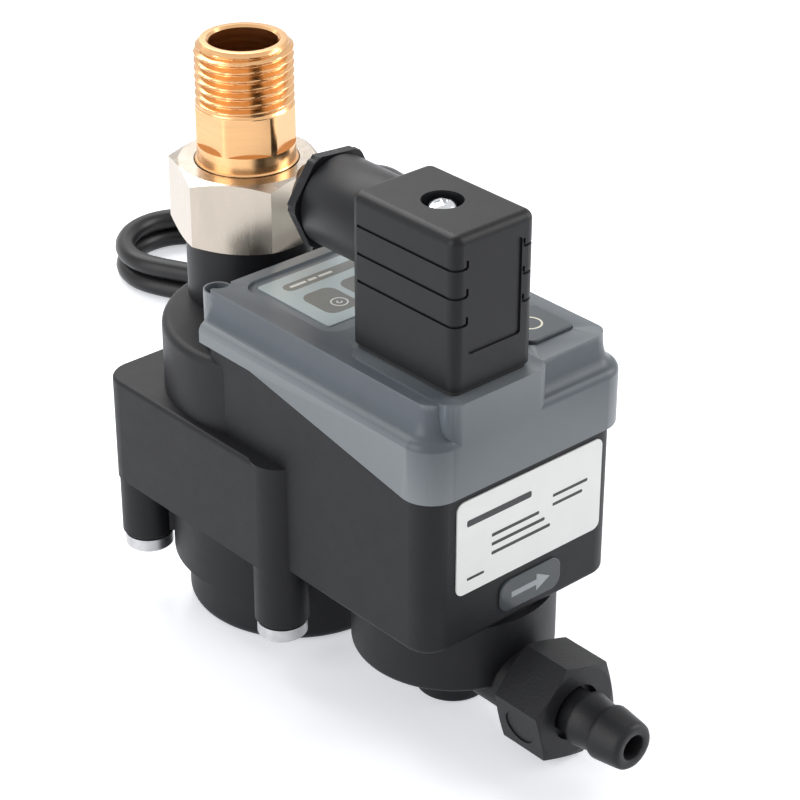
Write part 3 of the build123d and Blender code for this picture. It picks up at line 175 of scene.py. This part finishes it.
def moulded(
    name, colour, roughness, grain=0.25, grain_scale=2600, variation=0.12, specular=0.5, edge_highlight=None
):
    """Moulded plastic: fine grain, slight colour drift, satin to matt, and where asked a painted highlight
    on convex edges.
    """
    material, tree, shader = new_material(name)
    low = [c * (1 - variation) for c in colour]
    high = [c * (1 + variation) for c in colour]
    tone = ramp(tree, noise(tree, 90, 4), low, high)
    # painted highlight: convex edges take a lighter colour
    if edge_highlight:
        tone = painted_edge_highlight(tree, tone, edge_highlight)
    tree.links.new(tone, shader.inputs["Base Color"])
    tree.links.new(
        spread(tree, noise(tree, 240, 5), roughness - 0.05, roughness + 0.05),
        shader.inputs["Roughness"],
    )
    shader.inputs["Specular IOR Level"].default_value = specular
    bump(tree, shader, noise(tree, grain_scale, 2), grain, GRAIN_DEPTH)
    return material


def metal(name, colour, roughness, scale=300, stretch=None, strength=0.15, variation=0.08):
    """Machined metal with fine tool marks."""
    material, tree, shader = new_material(name)
    low = [c * (1 - variation) for c in colour]
    high = [min(c * (1 + variation), 1) for c in colour]
    marks = noise(tree, scale, 4, stretch=stretch)
    tree.links.new(ramp(tree, marks, low, high), shader.inputs["Base Color"])
    tree.links.new(spread(tree, marks, roughness - 0.06, roughness + 0.08), shader.inputs["Roughness"])
    shader.inputs["Metallic"].default_value = 1
    bump(tree, shader, marks, strength, TOOL_MARK_DEPTH)
    return material


# ---------------------------------------------------------------- materials
nylon = moulded(
    "nylon_black", (0.0095, 0.0098, 0.0112), 0.50, grain=0.45, grain_scale=2200, specular=0.23,
)
outlet_nylon = moulded(
    "nylon_outlet", (0.0100, 0.0103, 0.0118), 0.44, grain=0.75, grain_scale=1500, specular=0.27,
)
# the cover's edges get a lighter colour, a painted highlight
cover_grey = moulded(
    "cover_grey", (0.090, 0.106, 0.122), 0.34, grain=0.16, grain_scale=3200, variation=0.05,
    specular=0.30, edge_highlight=(0.20, 0.22, 0.235),
)
connector_black = moulded(
    "connector_black", (0.0095, 0.0098, 0.0112), 0.40, grain=0.25, grain_scale=3000, specular=0.22,
)
button_grey = moulded(
    "button_grey", (0.078, 0.090, 0.101), 0.38, grain=0.2, grain_scale=3200, variation=0.05,
    specular=0.3,
)
brass = metal("brass_turned", (0.74, 0.43, 0.205), 0.20, scale=60, stretch=(1, 1, 26), strength=0.10)
nickel = metal(
    "nickel_satin", (0.48, 0.425, 0.36), 0.25, scale=120, stretch=(3, 3, 0.6), strength=0.08,
    variation=0.05,
)
zinc = metal("zinc_plate", (0.50, 0.50, 0.51), 0.36, scale=700)
zinc_bright = metal("zinc_bright", (0.66, 0.67, 0.69), 0.20, scale=500, strength=0.03)
steel = metal("steel_turned", (0.56, 0.56, 0.57), 0.3, scale=500)
rubber = moulded("rubber_black", (0.018, 0.018, 0.018), 0.72, grain=0.2, grain_scale=1800)
jacket = moulded(
    "cable_jacket", (0.010, 0.010, 0.011), 0.36, grain=0.1, grain_scale=1500, specular=0.3,
)
plate_white = moulded(
    "plate_white", (0.84, 0.845, 0.83), 0.40, grain=0.05, grain_scale=900, variation=0.02,
)
pad_black = moulded(
    "pad_black", (0.050, 0.059, 0.066), 0.16, grain=0.08, grain_scale=900, specular=0.35,
)
label_film = moulded(
    "label_film", (0.36, 0.42, 0.43), 0.36, grain=0.05, grain_scale=1200, variation=0.03,
)
coil_resin = moulded("coil_resin", (0.02, 0.02, 0.022), 0.4)
board_green = moulded("board_green", (0.03, 0.16, 0.07), 0.35)
switch_plastic = moulded("switch_plastic", (0.07, 0.07, 0.075), 0.5)
clear_plastic = moulded("clear_plastic", (0.7, 0.72, 0.72), 0.2, grain=0.02)
core_brown = moulded("core_brown", (0.16, 0.07, 0.03), 0.45, grain=0.1)
ink = moulded("print_black", (0.02, 0.02, 0.022), 0.5, grain=0.05)
pad_print = moulded("print_grey", (0.30, 0.33, 0.35), 0.35, grain=0.05)
label_dark = moulded("print_label_dark", (0.145, 0.15, 0.14), 0.4, grain=0.05)
label_light = moulded("print_label_light", (0.62, 0.63, 0.60), 0.4, grain=0.05)
key_print = moulded("print_key", (0.80, 0.76, 0.62), 0.4, grain=0.05)

looks = {
    nylon: ["main_housing", "lower_housing"],
    outlet_nylon: ["outlet_nozzle", "outlet_nut"],
    cover_grey: ["cover"],
    connector_black: ["connector_housing", "gland_nut"],
    button_grey: ["test_button"],
    brass: ["inlet_nipple"],
    nickel: ["inlet_nut"],
    zinc: [
        "housing_screws", "cover_screws", "board_screws", "connector_screw", "terminal_screws",
        "connector_pins",
    ],
    steel: [
        "core_tube", "plunger", "plunger_spring", "valve_spring", "diaphragm_disc", "solenoid_yoke",
        "coil_nut", "level_sensor", "gland_washer",
    ],
    rubber: [
        "housing_gasket", "inlet_gasket", "outlet_gasket", "diaphragm", "cover_gasket", "sensor_seal",
        "connector_gasket", "gland_seal",
    ],
    coil_resin: ["solenoid_coil"],
    label_film: ["membrane_label"],
    plate_white: ["data_plate"],
    pad_black: ["outlet_pad"],
    board_green: ["circuit_board"],
    switch_plastic: ["tact_switch", "connector_base", "terminal_insert"],
    clear_plastic: ["light_pipes"],
    jacket: ["cable_stub", "cable_lead", "cable_coil"],
    core_brown: ["cable_cores"],
}
for material, names in looks.items():
    for name in names:
        nodes[name].data.materials.clear()
        nodes[name].data.materials.append(material)


# ---------------------------------------------------------------- cable, in mm from the inlet axis
CABLE_D = 5.6 * MM
FOLD_R = 16.8                           # centre line of the hank's folded ends
HANK_RUN = 80.5                         # straight stretch between the folds
HANK_TURN = math.radians(-63)
HANK_CENTRE = Vector((96.2, 94.5))
HANK_TURNS = 2
LAYERS = (2.8, 8.4)                     # heights of the two turns
RISE_BEFORE, RISE_AFTER = 15.0, 3.0     # stretch in which the cable climbs to the second turn
TAIL = ((-4, 8.5), (8, 8.7), (24.0, 8.5))
ARC_STEPS = 7
RUN_STEPS = 5

FOLD_LENGTH = math.pi * FOLD_R
TURN_LENGTH = 2 * HANK_RUN + 2 * FOLD_LENGTH
HANK_AXIS = Vector((math.cos(HANK_TURN), math.sin(HANK_TURN)))
HANK_SIDE = Vector((-HANK_AXIS.y, HANK_AXIS.x))


def hank_point(turns):
    """Place on the hank's centre line, from the fold that the lead joins, counted in turns."""
    around = (turns % 1) * TURN_LENGTH
    if around >= TURN_LENGTH - FOLD_LENGTH / 2:
        around -= TURN_LENGTH
    first_run = FOLD_LENGTH / 2
    second_fold = first_run + HANK_RUN
    second_run = second_fold + FOLD_LENGTH
    if around < first_run:
        angle = around / FOLD_R
        x, y = HANK_RUN / 2 + FOLD_R * math.cos(angle), FOLD_R * math.sin(angle)
    elif around < second_fold:
        x, y = HANK_RUN / 2 - (around - first_run), FOLD_R
    elif around < second_run:
        angle = math.pi / 2 + (around - second_fold) / FOLD_R
        x, y = -HANK_RUN / 2 + FOLD_R * math.cos(angle), FOLD_R * math.sin(angle)
    else:
        x, y = around - second_run - HANK_RUN / 2, -FOLD_R
    place = HANK_CENTRE + HANK_AXIS * x + HANK_SIDE * y
    return place.x, place.y


def turn_shares():
    """Shares of one turn at which the spline has points: close in the folds, wide in the runs."""
    marks = []
    start = -FOLD_LENGTH / 2
    for size, steps in ((FOLD_LENGTH, ARC_STEPS), (HANK_RUN, RUN_STEPS)) * 2:
        marks += [((start + size * (i + 0.5) / steps) / TURN_LENGTH) % 1 for i in range(steps)]
        start += size
    return sorted(marks)


def cable_route():
    """Free lead from the gland to the hank, then the hank's turns and the tail."""
    gland_x, gland_z = GLAND_AXIS
    lead = [
        (gland_x, -44.0, gland_z), (gland_x, -30.0, gland_z), (1.5, -20.5, 103.7), (14.5, -19.5, 98.5),
        (29.0, -16.0, 92.0), (40.0, -11.0, 76.0), (46.5, -6.5, 53.0), (52.5, -1.0, 26.0),
        (63.0, 7.0, 3.2), (85.0, 19.0, 2.8), (104.5, 27.6, 2.8), (119.0, 34.0, 2.8),
    ]
    # no turn's point lies close to the lead's last point or past the tail's first one
    first, last = 0.01, HANK_TURNS - FOLD_LENGTH / 2 / TURN_LENGTH - 0.004
    rise_start, rise_end = 1 - RISE_BEFORE / TURN_LENGTH, 1 + RISE_AFTER / TURN_LENGTH
    turns = []
    for along in (whole + share for whole in range(HANK_TURNS) for share in turn_shares()):
        if along < first or along > last:
            continue
        lift = min(max((along - rise_start) / (rise_end - rise_start), 0), 1)
        lift = lift * lift * (3 - 2 * lift)
        height = LAYERS[0] + (LAYERS[1] - LAYERS[0]) * lift
        if lift:
            height += 0.25 * math.sin(31 * along) ** 2
        # a hand-laid hank isn't quite even
        loose = 0.35 * math.sin(19 * along) + 0.2 * math.sin(47 * along)
        x, y = hank_point(along)
        turns.append((x + loose * 0.6, y + loose, height))
    leave = HANK_CENTRE + HANK_AXIS * HANK_RUN / 2 - HANK_SIDE * FOLD_R
    tail = []
    for along, height in TAIL:
        place = leave + HANK_AXIS * along
        tail.append((place.x, place.y, height))
    return lead + turns + tail


def make_cable():
    """The supply cable as one round spline; returns it with its points and its length."""
    curve = bpy.data.curves.new("cable", "CURVE")
    curve.dimensions = "3D"
    curve.bevel_depth = CABLE_D / 2
    curve.bevel_resolution = 5
    curve.resolution_u = 6
    curve.use_fill_caps = True
    spline = curve.splines.new("NURBS")
    points = [inlet_point(*p) for p in cable_route()]
    spline.points.add(len(points) - 1)
    for point, place in zip(spline.points, points):
        point.co = (*place, 1)
    spline.order_u = 3
    spline.use_endpoint_u = True
    curve.materials.append(jacket)
    cable = bpy.data.objects.new("cable", curve)
    scene.collection.objects.link(cable)
    length = sum((b - a).length for a, b in zip(points, points[1:]))
    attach(cable, "drain")
    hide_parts("cable_lead", "cable_coil")
    return cable, points, length


cable, cable_points, cable_length = make_cable()
print("cable length of the control line (m):", round(cable_length, 3))


# ---------------------------------------------------------------- small visible forms
def add_piece(name, mesh, material, body="drain", smooth=True):
    """Links a mesh as a visible piece that rides a CAD body."""
    mesh.materials.append(material)
    mesh.validate()
    for face in mesh.polygons:
        face.use_smooth = smooth
    item = bpy.data.objects.new(name, mesh)
    scene.collection.objects.link(item)
    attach(item, body)
    return item


def split_edges(piece, degrees):
    """Keeps a smooth piece's edges sharp where the faces turn by more than this."""
    split = piece.modifiers.new("edges", "EDGE_SPLIT")
    split.split_angle = math.radians(degrees)


def ring_mesh(name, rows, columns):
    """Closed mesh from a loop of rows, each a list of points round an axis."""
    mesh = bpy.data.meshes.new(name)
    verts = [place for row in rows for place in row]
    faces = []
    for i in range(len(rows)):
        j = (i + 1) % len(rows)
        for k in range(columns):
            m = (k + 1) % columns
            faces.append((i * columns + k, i * columns + m, j * columns + m, j * columns + k))
    mesh.from_pydata(verts, [], faces)
    return mesh


def row_along_y(axis, along, columns, radius_at):
    """Ring of points round an axis that runs along Y, in mm; radius_at gives the radius at an angle."""
    row = []
    for k in range(columns):
        angle = 2 * math.pi * k / columns
        radius = radius_at(angle)
        row.append((
            (axis[0] + radius * math.cos(angle)) * MM, inlet_y + along * MM,
            (axis[1] + radius * math.sin(angle)) * MM,
        ))
    return row


def round_row(radius):
    """The same radius at every angle."""
    return lambda angle: radius


def off_flat(angle, first_flat):
    """Degrees from the middle of the nearest of six flats."""
    return (math.degrees(angle) - first_flat + 30) % 60 - 30


def hexagon_reach(half_flats, off):
    """Distance from the axis to a hexagon's flat, off degrees from the flat's middle."""
    return half_flats / math.cos(math.radians(off))


def make_nipple():
    """Brass nipple: flange, round collar, six milled flats, and a helical pipe thread."""
    top = nipple_hi.z / MM
    low = nipple_lo.z / MM
    bore, flange, collar, body = 7.3, 12.6, 11.05, 10.55
    crest, root, pitch = 10.48, 9.35, 1.814
    thread_low = top - 14.2
    run_out = 1.6                       # stretch in which the thread reaches its depth
    flat_low, flat_high, half_flats, first_flat = top - 22.8, top - 14.4, 9.36, 236
    collar_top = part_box("inlet_nut")[1].z / MM + 0.5
    mouth_r = 9.1                       # outside radius at the top, from which a chamfer falls
    columns = 144
    thread_rows = 118
    profile = [
        (bore, low), (flange, low), (flange, low + 1.6), (collar, low + 1.7), (collar, collar_top - 0.3),
        (body + 0.2, collar_top), (body, collar_top + 0.02), (body, flat_low - 0.02), (body, flat_low),
        (body, (flat_low + flat_high) / 2), (body, flat_high), (body, flat_high + 0.02),
        (body, thread_low),
    ]
    step = (top - 0.25 - thread_low) / thread_rows
    profile += [(None, thread_low + step * (i + 1)) for i in range(thread_rows)]
    profile += [
        (mouth_r, top - 0.02), (mouth_r - 0.2, top), (bore + 0.5, top), (bore, top - 0.5),
        (bore, top - 14), (bore, low + 6),
    ]
    rows = []
    for radius, height in profile:
        row = []
        for k in range(columns):
            angle = math.radians(first_flat) + 2 * math.pi * k / columns
            r = radius
            if radius is None:
                phase = ((height - thread_low) / pitch - angle / (2 * math.pi)) % 1
                ridge = min(max(abs(phase - 0.5) * 2.5 - 0.12, 0), 1)
                depth = min((height - thread_low) / run_out, 1)
                r = crest - (crest - root) * (1 - ridge) * depth
                r = min(r, mouth_r + (top - height) * 0.95)
            elif flat_low <= height <= flat_high:
                r = min(radius, hexagon_reach(half_flats, off_flat(angle, first_flat)))
            row.append((r * math.cos(angle) * MM, inlet_y + r * math.sin(angle) * MM, height * MM))
        rows.append(row)
    piece = add_piece("inlet_nipple_turned", ring_mesh("nipple", rows, columns), brass)
    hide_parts("inlet_nipple")
    split_edges(piece, 38)


def make_screw_head():
    """Cross-recessed pan head over the connector's screw."""
    lo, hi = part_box("connector_screw")
    cx, cy = (lo.x + hi.x) / 2, (lo.y + hi.y) / 2
    radius, rise, sunk = 2.7, 0.9, 0.4
    recess_r, recess_half, recess_fade = 1.75, 0.36, 2.2
    recess_cos, recess_sin = 0.883, 0.469       # the cross is turned by 28 degrees
    hub_r = 0.01
    rings, columns = 26, 96
    first_column = math.radians(20)
    rows = []
    for i in range(rings + 1):
        r = radius * (1 - i / rings) + hub_r
        row = []
        for k in range(columns):
            angle = 2 * math.pi * k / columns + first_column
            x, y = r * math.cos(angle), r * math.sin(angle)
            height = rise * (1 - (r / radius) ** 2.6)
            turned = (x * recess_cos - y * recess_sin, x * recess_sin + y * recess_cos)
            if r < recess_r and min(abs(turned[0]), abs(turned[1])) < recess_half:
                height -= 1 - r / recess_fade
            row.append((cx + x * MM, cy + y * MM, hi.z + height * MM))
        rows.append(row)
    for r in (hub_r, radius):
        rows.append([
            (
                cx + r * MM * math.cos(2 * math.pi * k / columns),
                cy + r * MM * math.sin(2 * math.pi * k / columns), hi.z - sunk * MM,
            )
            for k in range(columns)
        ])
    head = ring_mesh("screw_head", rows, columns)
    piece = add_piece("connector_screw_head", head, zinc_bright)
    split_edges(piece, 35)


def make_gland():
    """The gland's full-width barrel and its hexagonal nut, with the corners turned down."""
    lo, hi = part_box("gland_nut")
    axis = ((lo.x + hi.x) / 2 / MM, GLAND_AXIS[1])
    end = (hi.y - inlet_y) / MM
    barrel_start, barrel_end, rear = -58.0, end - 4.6, end - 0.6
    barrel_r, barrel_inner_r, nut_inner_r, nut_corner_r = 9.55, 8.7, 3.2, 10.9
    half_flats, first_flat = 9.7, 25
    groove_depth, groove_half = 0.35, 2.5       # half of the groove's width is in degrees
    columns = 96
    rows = [
        row_along_y(axis, along, columns, round_row(radius))
        for radius, along in (
            (barrel_inner_r, barrel_start), (barrel_r, barrel_start), (barrel_r, barrel_end - 0.5),
            (9.2, barrel_end), (barrel_inner_r, barrel_end),
        )
    ]
    barrel = ring_mesh("gland_barrel", rows, columns)
    piece = add_piece("gland_barrel", barrel, connector_black)
    split_edges(piece, 38)

    def six_sided(radius, groove=0):
        """A radius cut by the six flats, with a groove of some depth along each corner."""
        def radius_at(angle):
            off = off_flat(angle, first_flat)
            cut = min(radius, hexagon_reach(half_flats, off))
            return cut - groove if abs(abs(off) - 30) < groove_half else cut
        return radius_at

    rows = [
        row_along_y(axis, along, columns, radius_at)
        for radius_at, along in (
            (round_row(nut_inner_r), barrel_end - 1), (round_row(8.8), barrel_end - 1),
            (round_row(8.8), barrel_end + 0.05), (six_sided(10.6), barrel_end + 0.05),
            (six_sided(nut_corner_r, groove_depth), barrel_end + 0.4),
            (six_sided(nut_corner_r, groove_depth), rear - 1.8), (six_sided(8.9), rear - 0.4),
            (six_sided(8.5), rear), (round_row(4.6), rear), (round_row(nut_inner_r), rear - 0.8),
        )
    ]
    nut_mesh = ring_mesh("gland_nut", rows, columns)
    nut = add_piece("gland_nut_formed", nut_mesh, connector_black)
    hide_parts("gland_nut")
    split_edges(nut, 30)


def make_nozzle():
    """Barbed hose nozzle with two rounded barbs and a blunt, rounded tip."""
    lo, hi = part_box("outlet_nozzle")
    axis = ((lo.x + hi.x) / 2 / MM, (lo.z + hi.z) / 2 / MM)
    tip, back = (lo.y - inlet_y) / MM, (hi.y - inlet_y) / MM
    bore, flange, neck, barb = 2.7, 7.7, 4.95, 6.0
    columns = 96
    profile = [
        (bore, back), (flange, back), (flange, back - 1.9), (neck, back - 1.95), (neck, tip + 13.9),
        (5.2, tip + 13.7), (5.9, tip + 13.4), (barb, tip + 13.0), (5.9, tip + 12.4), (5.2, tip + 7.9),
        (5.25, tip + 7.75), (5.85, tip + 7.55), (barb, tip + 7.1), (5.95, tip + 6.4), (5.3, tip + 1.5),
        (5.1, tip + 0.6), (4.7, tip + 0.12), (4.2, tip), (3.3, tip), (2.85, tip + 0.15), (bore, tip + 0.5),
    ]
    rows = [row_along_y(axis, along, columns, round_row(radius)) for radius, along in profile]
    nozzle = ring_mesh("nozzle", rows, columns)
    piece = add_piece("outlet_nozzle_formed", nozzle, outlet_nylon)
    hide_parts("outlet_nozzle")
    split_edges(piece, 40)


# ---------------------------------------------------------------- printed marks
PRINT_RISE = 0.03                       # mm that a mark stands above its surface
PRINT_DEPTH = 0.02                      # mm that it reaches below it


def flat_shape(bm, outline, level, axis):
    """Adds a thin closed plate, drawn in millimetres, to a mesh under construction."""
    def place(a, b, lift):
        if axis == "Z":
            return Vector((a * MM, inlet_y + b * MM, level + lift * MM))
        return Vector((a * MM, level - lift * MM, b * MM))
    front = [bm.verts.new(place(a, b, PRINT_RISE)) for a, b in outline]
    back = [bm.verts.new(place(a, b, -PRINT_DEPTH)) for a, b in outline]
    bm.faces.new(front)
    bm.faces.new(list(reversed(back)))
    count = len(outline)
    for i in range(count):
        j = (i + 1) % count
        bm.faces.new((front[j], front[i], back[i], back[j]))


def rounded(x0, y0, x1, y1, corner, steps=6):
    """Outline of a rounded rectangle, counter-clockwise."""
    corner = min(corner, (x1 - x0) / 2 - 0.001, (y1 - y0) / 2 - 0.001)
    points = []
    for cx, cy, start in (
        (x1 - corner, y1 - corner, 0), (x0 + corner, y1 - corner, 90),
        (x0 + corner, y0 + corner, 180), (x1 - corner, y0 + corner, 270),
    ):
        for i in range(steps + 1):
            angle = math.radians(start + 90 * i / steps)
            points.append((cx + corner * math.cos(angle), cy + corner * math.sin(angle)))
    return points


def arc_band(cx, cy, radius, width, start=0, sweep=360, steps=36):
    """Quads of a flat ring or arc."""
    outer, inner = radius + width / 2, radius - width / 2
    cells = []
    for i in range(steps):
        a = math.radians(start + sweep * i / steps)
        b = math.radians(start + sweep * (i + 1) / steps)
        cells.append([
            (cx + r * math.cos(angle), cy + r * math.sin(angle))
            for r, angle in ((inner, a), (outer, a), (outer, b), (inner, b))
        ])
    return cells


def printed(name, outlines, level, axis, material, body="drain"):
    """One piece from flat outlines that lie on a surface across the axis."""
    bm = bmesh.new()
    for outline in outlines:
        flat_shape(bm, outline, level, axis)
    bmesh.ops.recalc_face_normals(bm, faces=bm.faces)
    mesh = bpy.data.meshes.new(name)
    bm.to_mesh(mesh)
    bm.free()
    return add_piece(name, mesh, material, body, smooth=False)


def print_plate():
    """Plain rules on the data plate, each as (from the left, from the top, length, thickness)."""
    lo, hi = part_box("data_plate")
    left, top = lo.x / MM, hi.z / MM
    rules = [
        (2.6, 4.6, 17.5, 1.5), (9.4, 10.3, 13.0, 0.75), (9.4, 12.4, 14.6, 0.75), (9.4, 14.5, 16.2, 0.75),
        (26.2, 8.0, 9.8, 0.7), (26.2, 10.1, 8.4, 0.7), (2.8, 18.0, 4.6, 0.6),
    ]
    bars = [
        rounded(left + x, top - y - h, left + x + w, top - y, h * 0.25, 2) for x, y, w, h in rules
    ]
    printed("plate_rules", bars, lo.y, "Y", ink)


def print_pad():
    """An arrow towards the outlet."""
    lo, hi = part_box("outlet_pad")
    cx, cz = (lo.x + hi.x) / 2 / MM, (lo.z + hi.z) / 2 / MM
    half_length, shaft_half, head_half, neck = 5.4, 0.65, 2.0, 1.6
    arrow = [
        (cx - half_length, cz - shaft_half), (cx + neck, cz - shaft_half), (cx + neck, cz - head_half),
        (cx + half_length, cz), (cx + neck, cz + head_half), (cx + neck, cz + shaft_half),
        (cx - half_length, cz + shaft_half),
    ]
    printed("pad_arrow", [arrow], lo.y, "Y", pad_print)


def print_label():
    """A banner with three dashes, and three fields with a ring and an arc each."""
    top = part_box("membrane_label")[1].z
    line, ring_r, arc_r = 0.34, 1.75, 0.5
    dark = [rounded(-12.5, -28.9, 10.5, -25.7, 1.5)]
    light = []
    for field_x in (-10, 0, 10):
        ring_x, ring_y = field_x + 2.4, -38.9
        dark.append(rounded(field_x - 2.6, -42.4, field_x + 5.6, -31.9, 2.4))
        light += arc_band(ring_x, ring_y, ring_r, line)
        light += arc_band(ring_x, ring_y, arc_r, line, 90, 270, 12)
    dash_low, dash_high = -27.7, -26.9
    for start, length in ((-11.0, 4.2), (-6.2, 2.2), (-3.4, 3.6)):
        light.append([
            (start, dash_low), (start + length, dash_low), (start + length, dash_high), (start, dash_high),
        ])
    printed("label_shapes", dark, top, "Z", label_dark)
    printed("label_symbols", light, top + PRINT_RISE * MM, "Z", label_light)


def print_button():
    """A ring on the test button, which moves with it."""
    lo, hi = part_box("test_button")
    cx = (lo.x + hi.x) / 2 / MM - 0.6
    cy = ((lo.y + hi.y) / 2 - inlet_y) / MM + 0.2
    printed(
        "button_ring", arc_band(cx, cy, 2.5, 0.42), hi.z, "Z", key_print, "button",
    )


make_nipple()
make_nozzle()
print_plate()
print_pad()
print_label()
print_button()
make_screw_head()
make_gland()


# ---------------------------------------------------------------- floor, world and lamps
def seen_rays(tree):
    """1 on the rays that the camera, a reflection or a clear piece sends out, and 0 on the rest."""
    path = tree.nodes.new("ShaderNodeLightPath")
    share = path.outputs["Is Camera Ray"]
    for name in ("Is Glossy Ray", "Is Transmission Ray"):
        either = tree.nodes.new("ShaderNodeMath")
        either.operation = "MAXIMUM"
        tree.links.new(share, either.inputs[0])
        tree.links.new(path.outputs[name], either.inputs[1])
        share = either.outputs["Value"]
    return share

FLOOR_REACH = 3.0                       # m
FLOOR_LIFT = 0.46                       # added light, on seen rays only
WORLD_FILL = 0.38                       # strength on the rays that aren't seen
LAMP_AIM = (0, 0, 0.06)


def make_floor():
    """Plain pale floor; seen rays find it lifted to white, but with its shadow."""
    mesh = bpy.data.meshes.new("floor")
    reach = FLOOR_REACH
    corners = [(-reach, -reach, 0), (reach, -reach, 0), (reach, reach, 0), (-reach, reach, 0)]
    mesh.from_pydata(corners, [], [(0, 1, 2, 3)])
    floor = bpy.data.objects.new("floor", mesh)
    scene.collection.objects.link(floor)
    material, tree, shader = new_material("floor_white")
    shader.inputs["Base Color"].default_value = (0.84, 0.845, 0.87, 1)
    shader.inputs["Roughness"].default_value = 0.28
    glow = tree.nodes.new("ShaderNodeEmission")
    glow.inputs["Color"].default_value = (0.95, 0.97, 1.0, 1)
    tree.links.new(spread(tree, seen_rays(tree), 0.0, FLOOR_LIFT), glow.inputs["Strength"])
    both = tree.nodes.new("ShaderNodeAddShader")
    tree.links.new(shader.outputs["BSDF"], both.inputs[0])
    tree.links.new(glow.outputs["Emission"], both.inputs[1])
    tree.links.new(both.outputs["Shader"], tree.nodes["Material Output"].inputs["Surface"])
    mesh.materials.append(material)


def make_world():
    """White studio, dimmer where it only lights the object."""
    world = bpy.data.worlds.new("studio")
    scene.world = world
    world.use_nodes = True
    tree = world.node_tree
    background = tree.nodes["Background"]
    background.inputs["Color"].default_value = (1, 1, 1, 1)
    tree.links.new(spread(tree, seen_rays(tree), WORLD_FILL, 1.0), background.inputs["Strength"])


def lamp(name, place, size, power):
    """Soft rectangular light that faces the object."""
    light = bpy.data.lights.new(name, "AREA")
    light.shape = "RECTANGLE"
    light.size, light.size_y = size
    light.energy = power
    item = bpy.data.objects.new(name, light)
    scene.collection.objects.link(item)
    item.location = place
    item.rotation_mode = "QUATERNION"
    item.rotation_quaternion = (Vector(LAMP_AIM) - Vector(place)).to_track_quat("-Z", "Y")


make_floor()
make_world()
lamp("top_back", (0.15, 0.75, 0.95), (1.0, 0.8), 11.0)
lamp("left", (-0.95, 0.15, 0.45), (0.7, 0.9), 6.0)
lamp("right", (0.85, -0.55, 0.55), (0.6, 0.8), 7.5)

# ---------------------------------------------------------------- springs
# each spring gets a mesh of its own
for name, joint, fixed, travel in (
    ("plunger_spring", "plunger_lift", 0.058, 0.0015),
    ("valve_spring", "valve_lift", 0.0338, 0.0016),
):
    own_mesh(nodes[name])
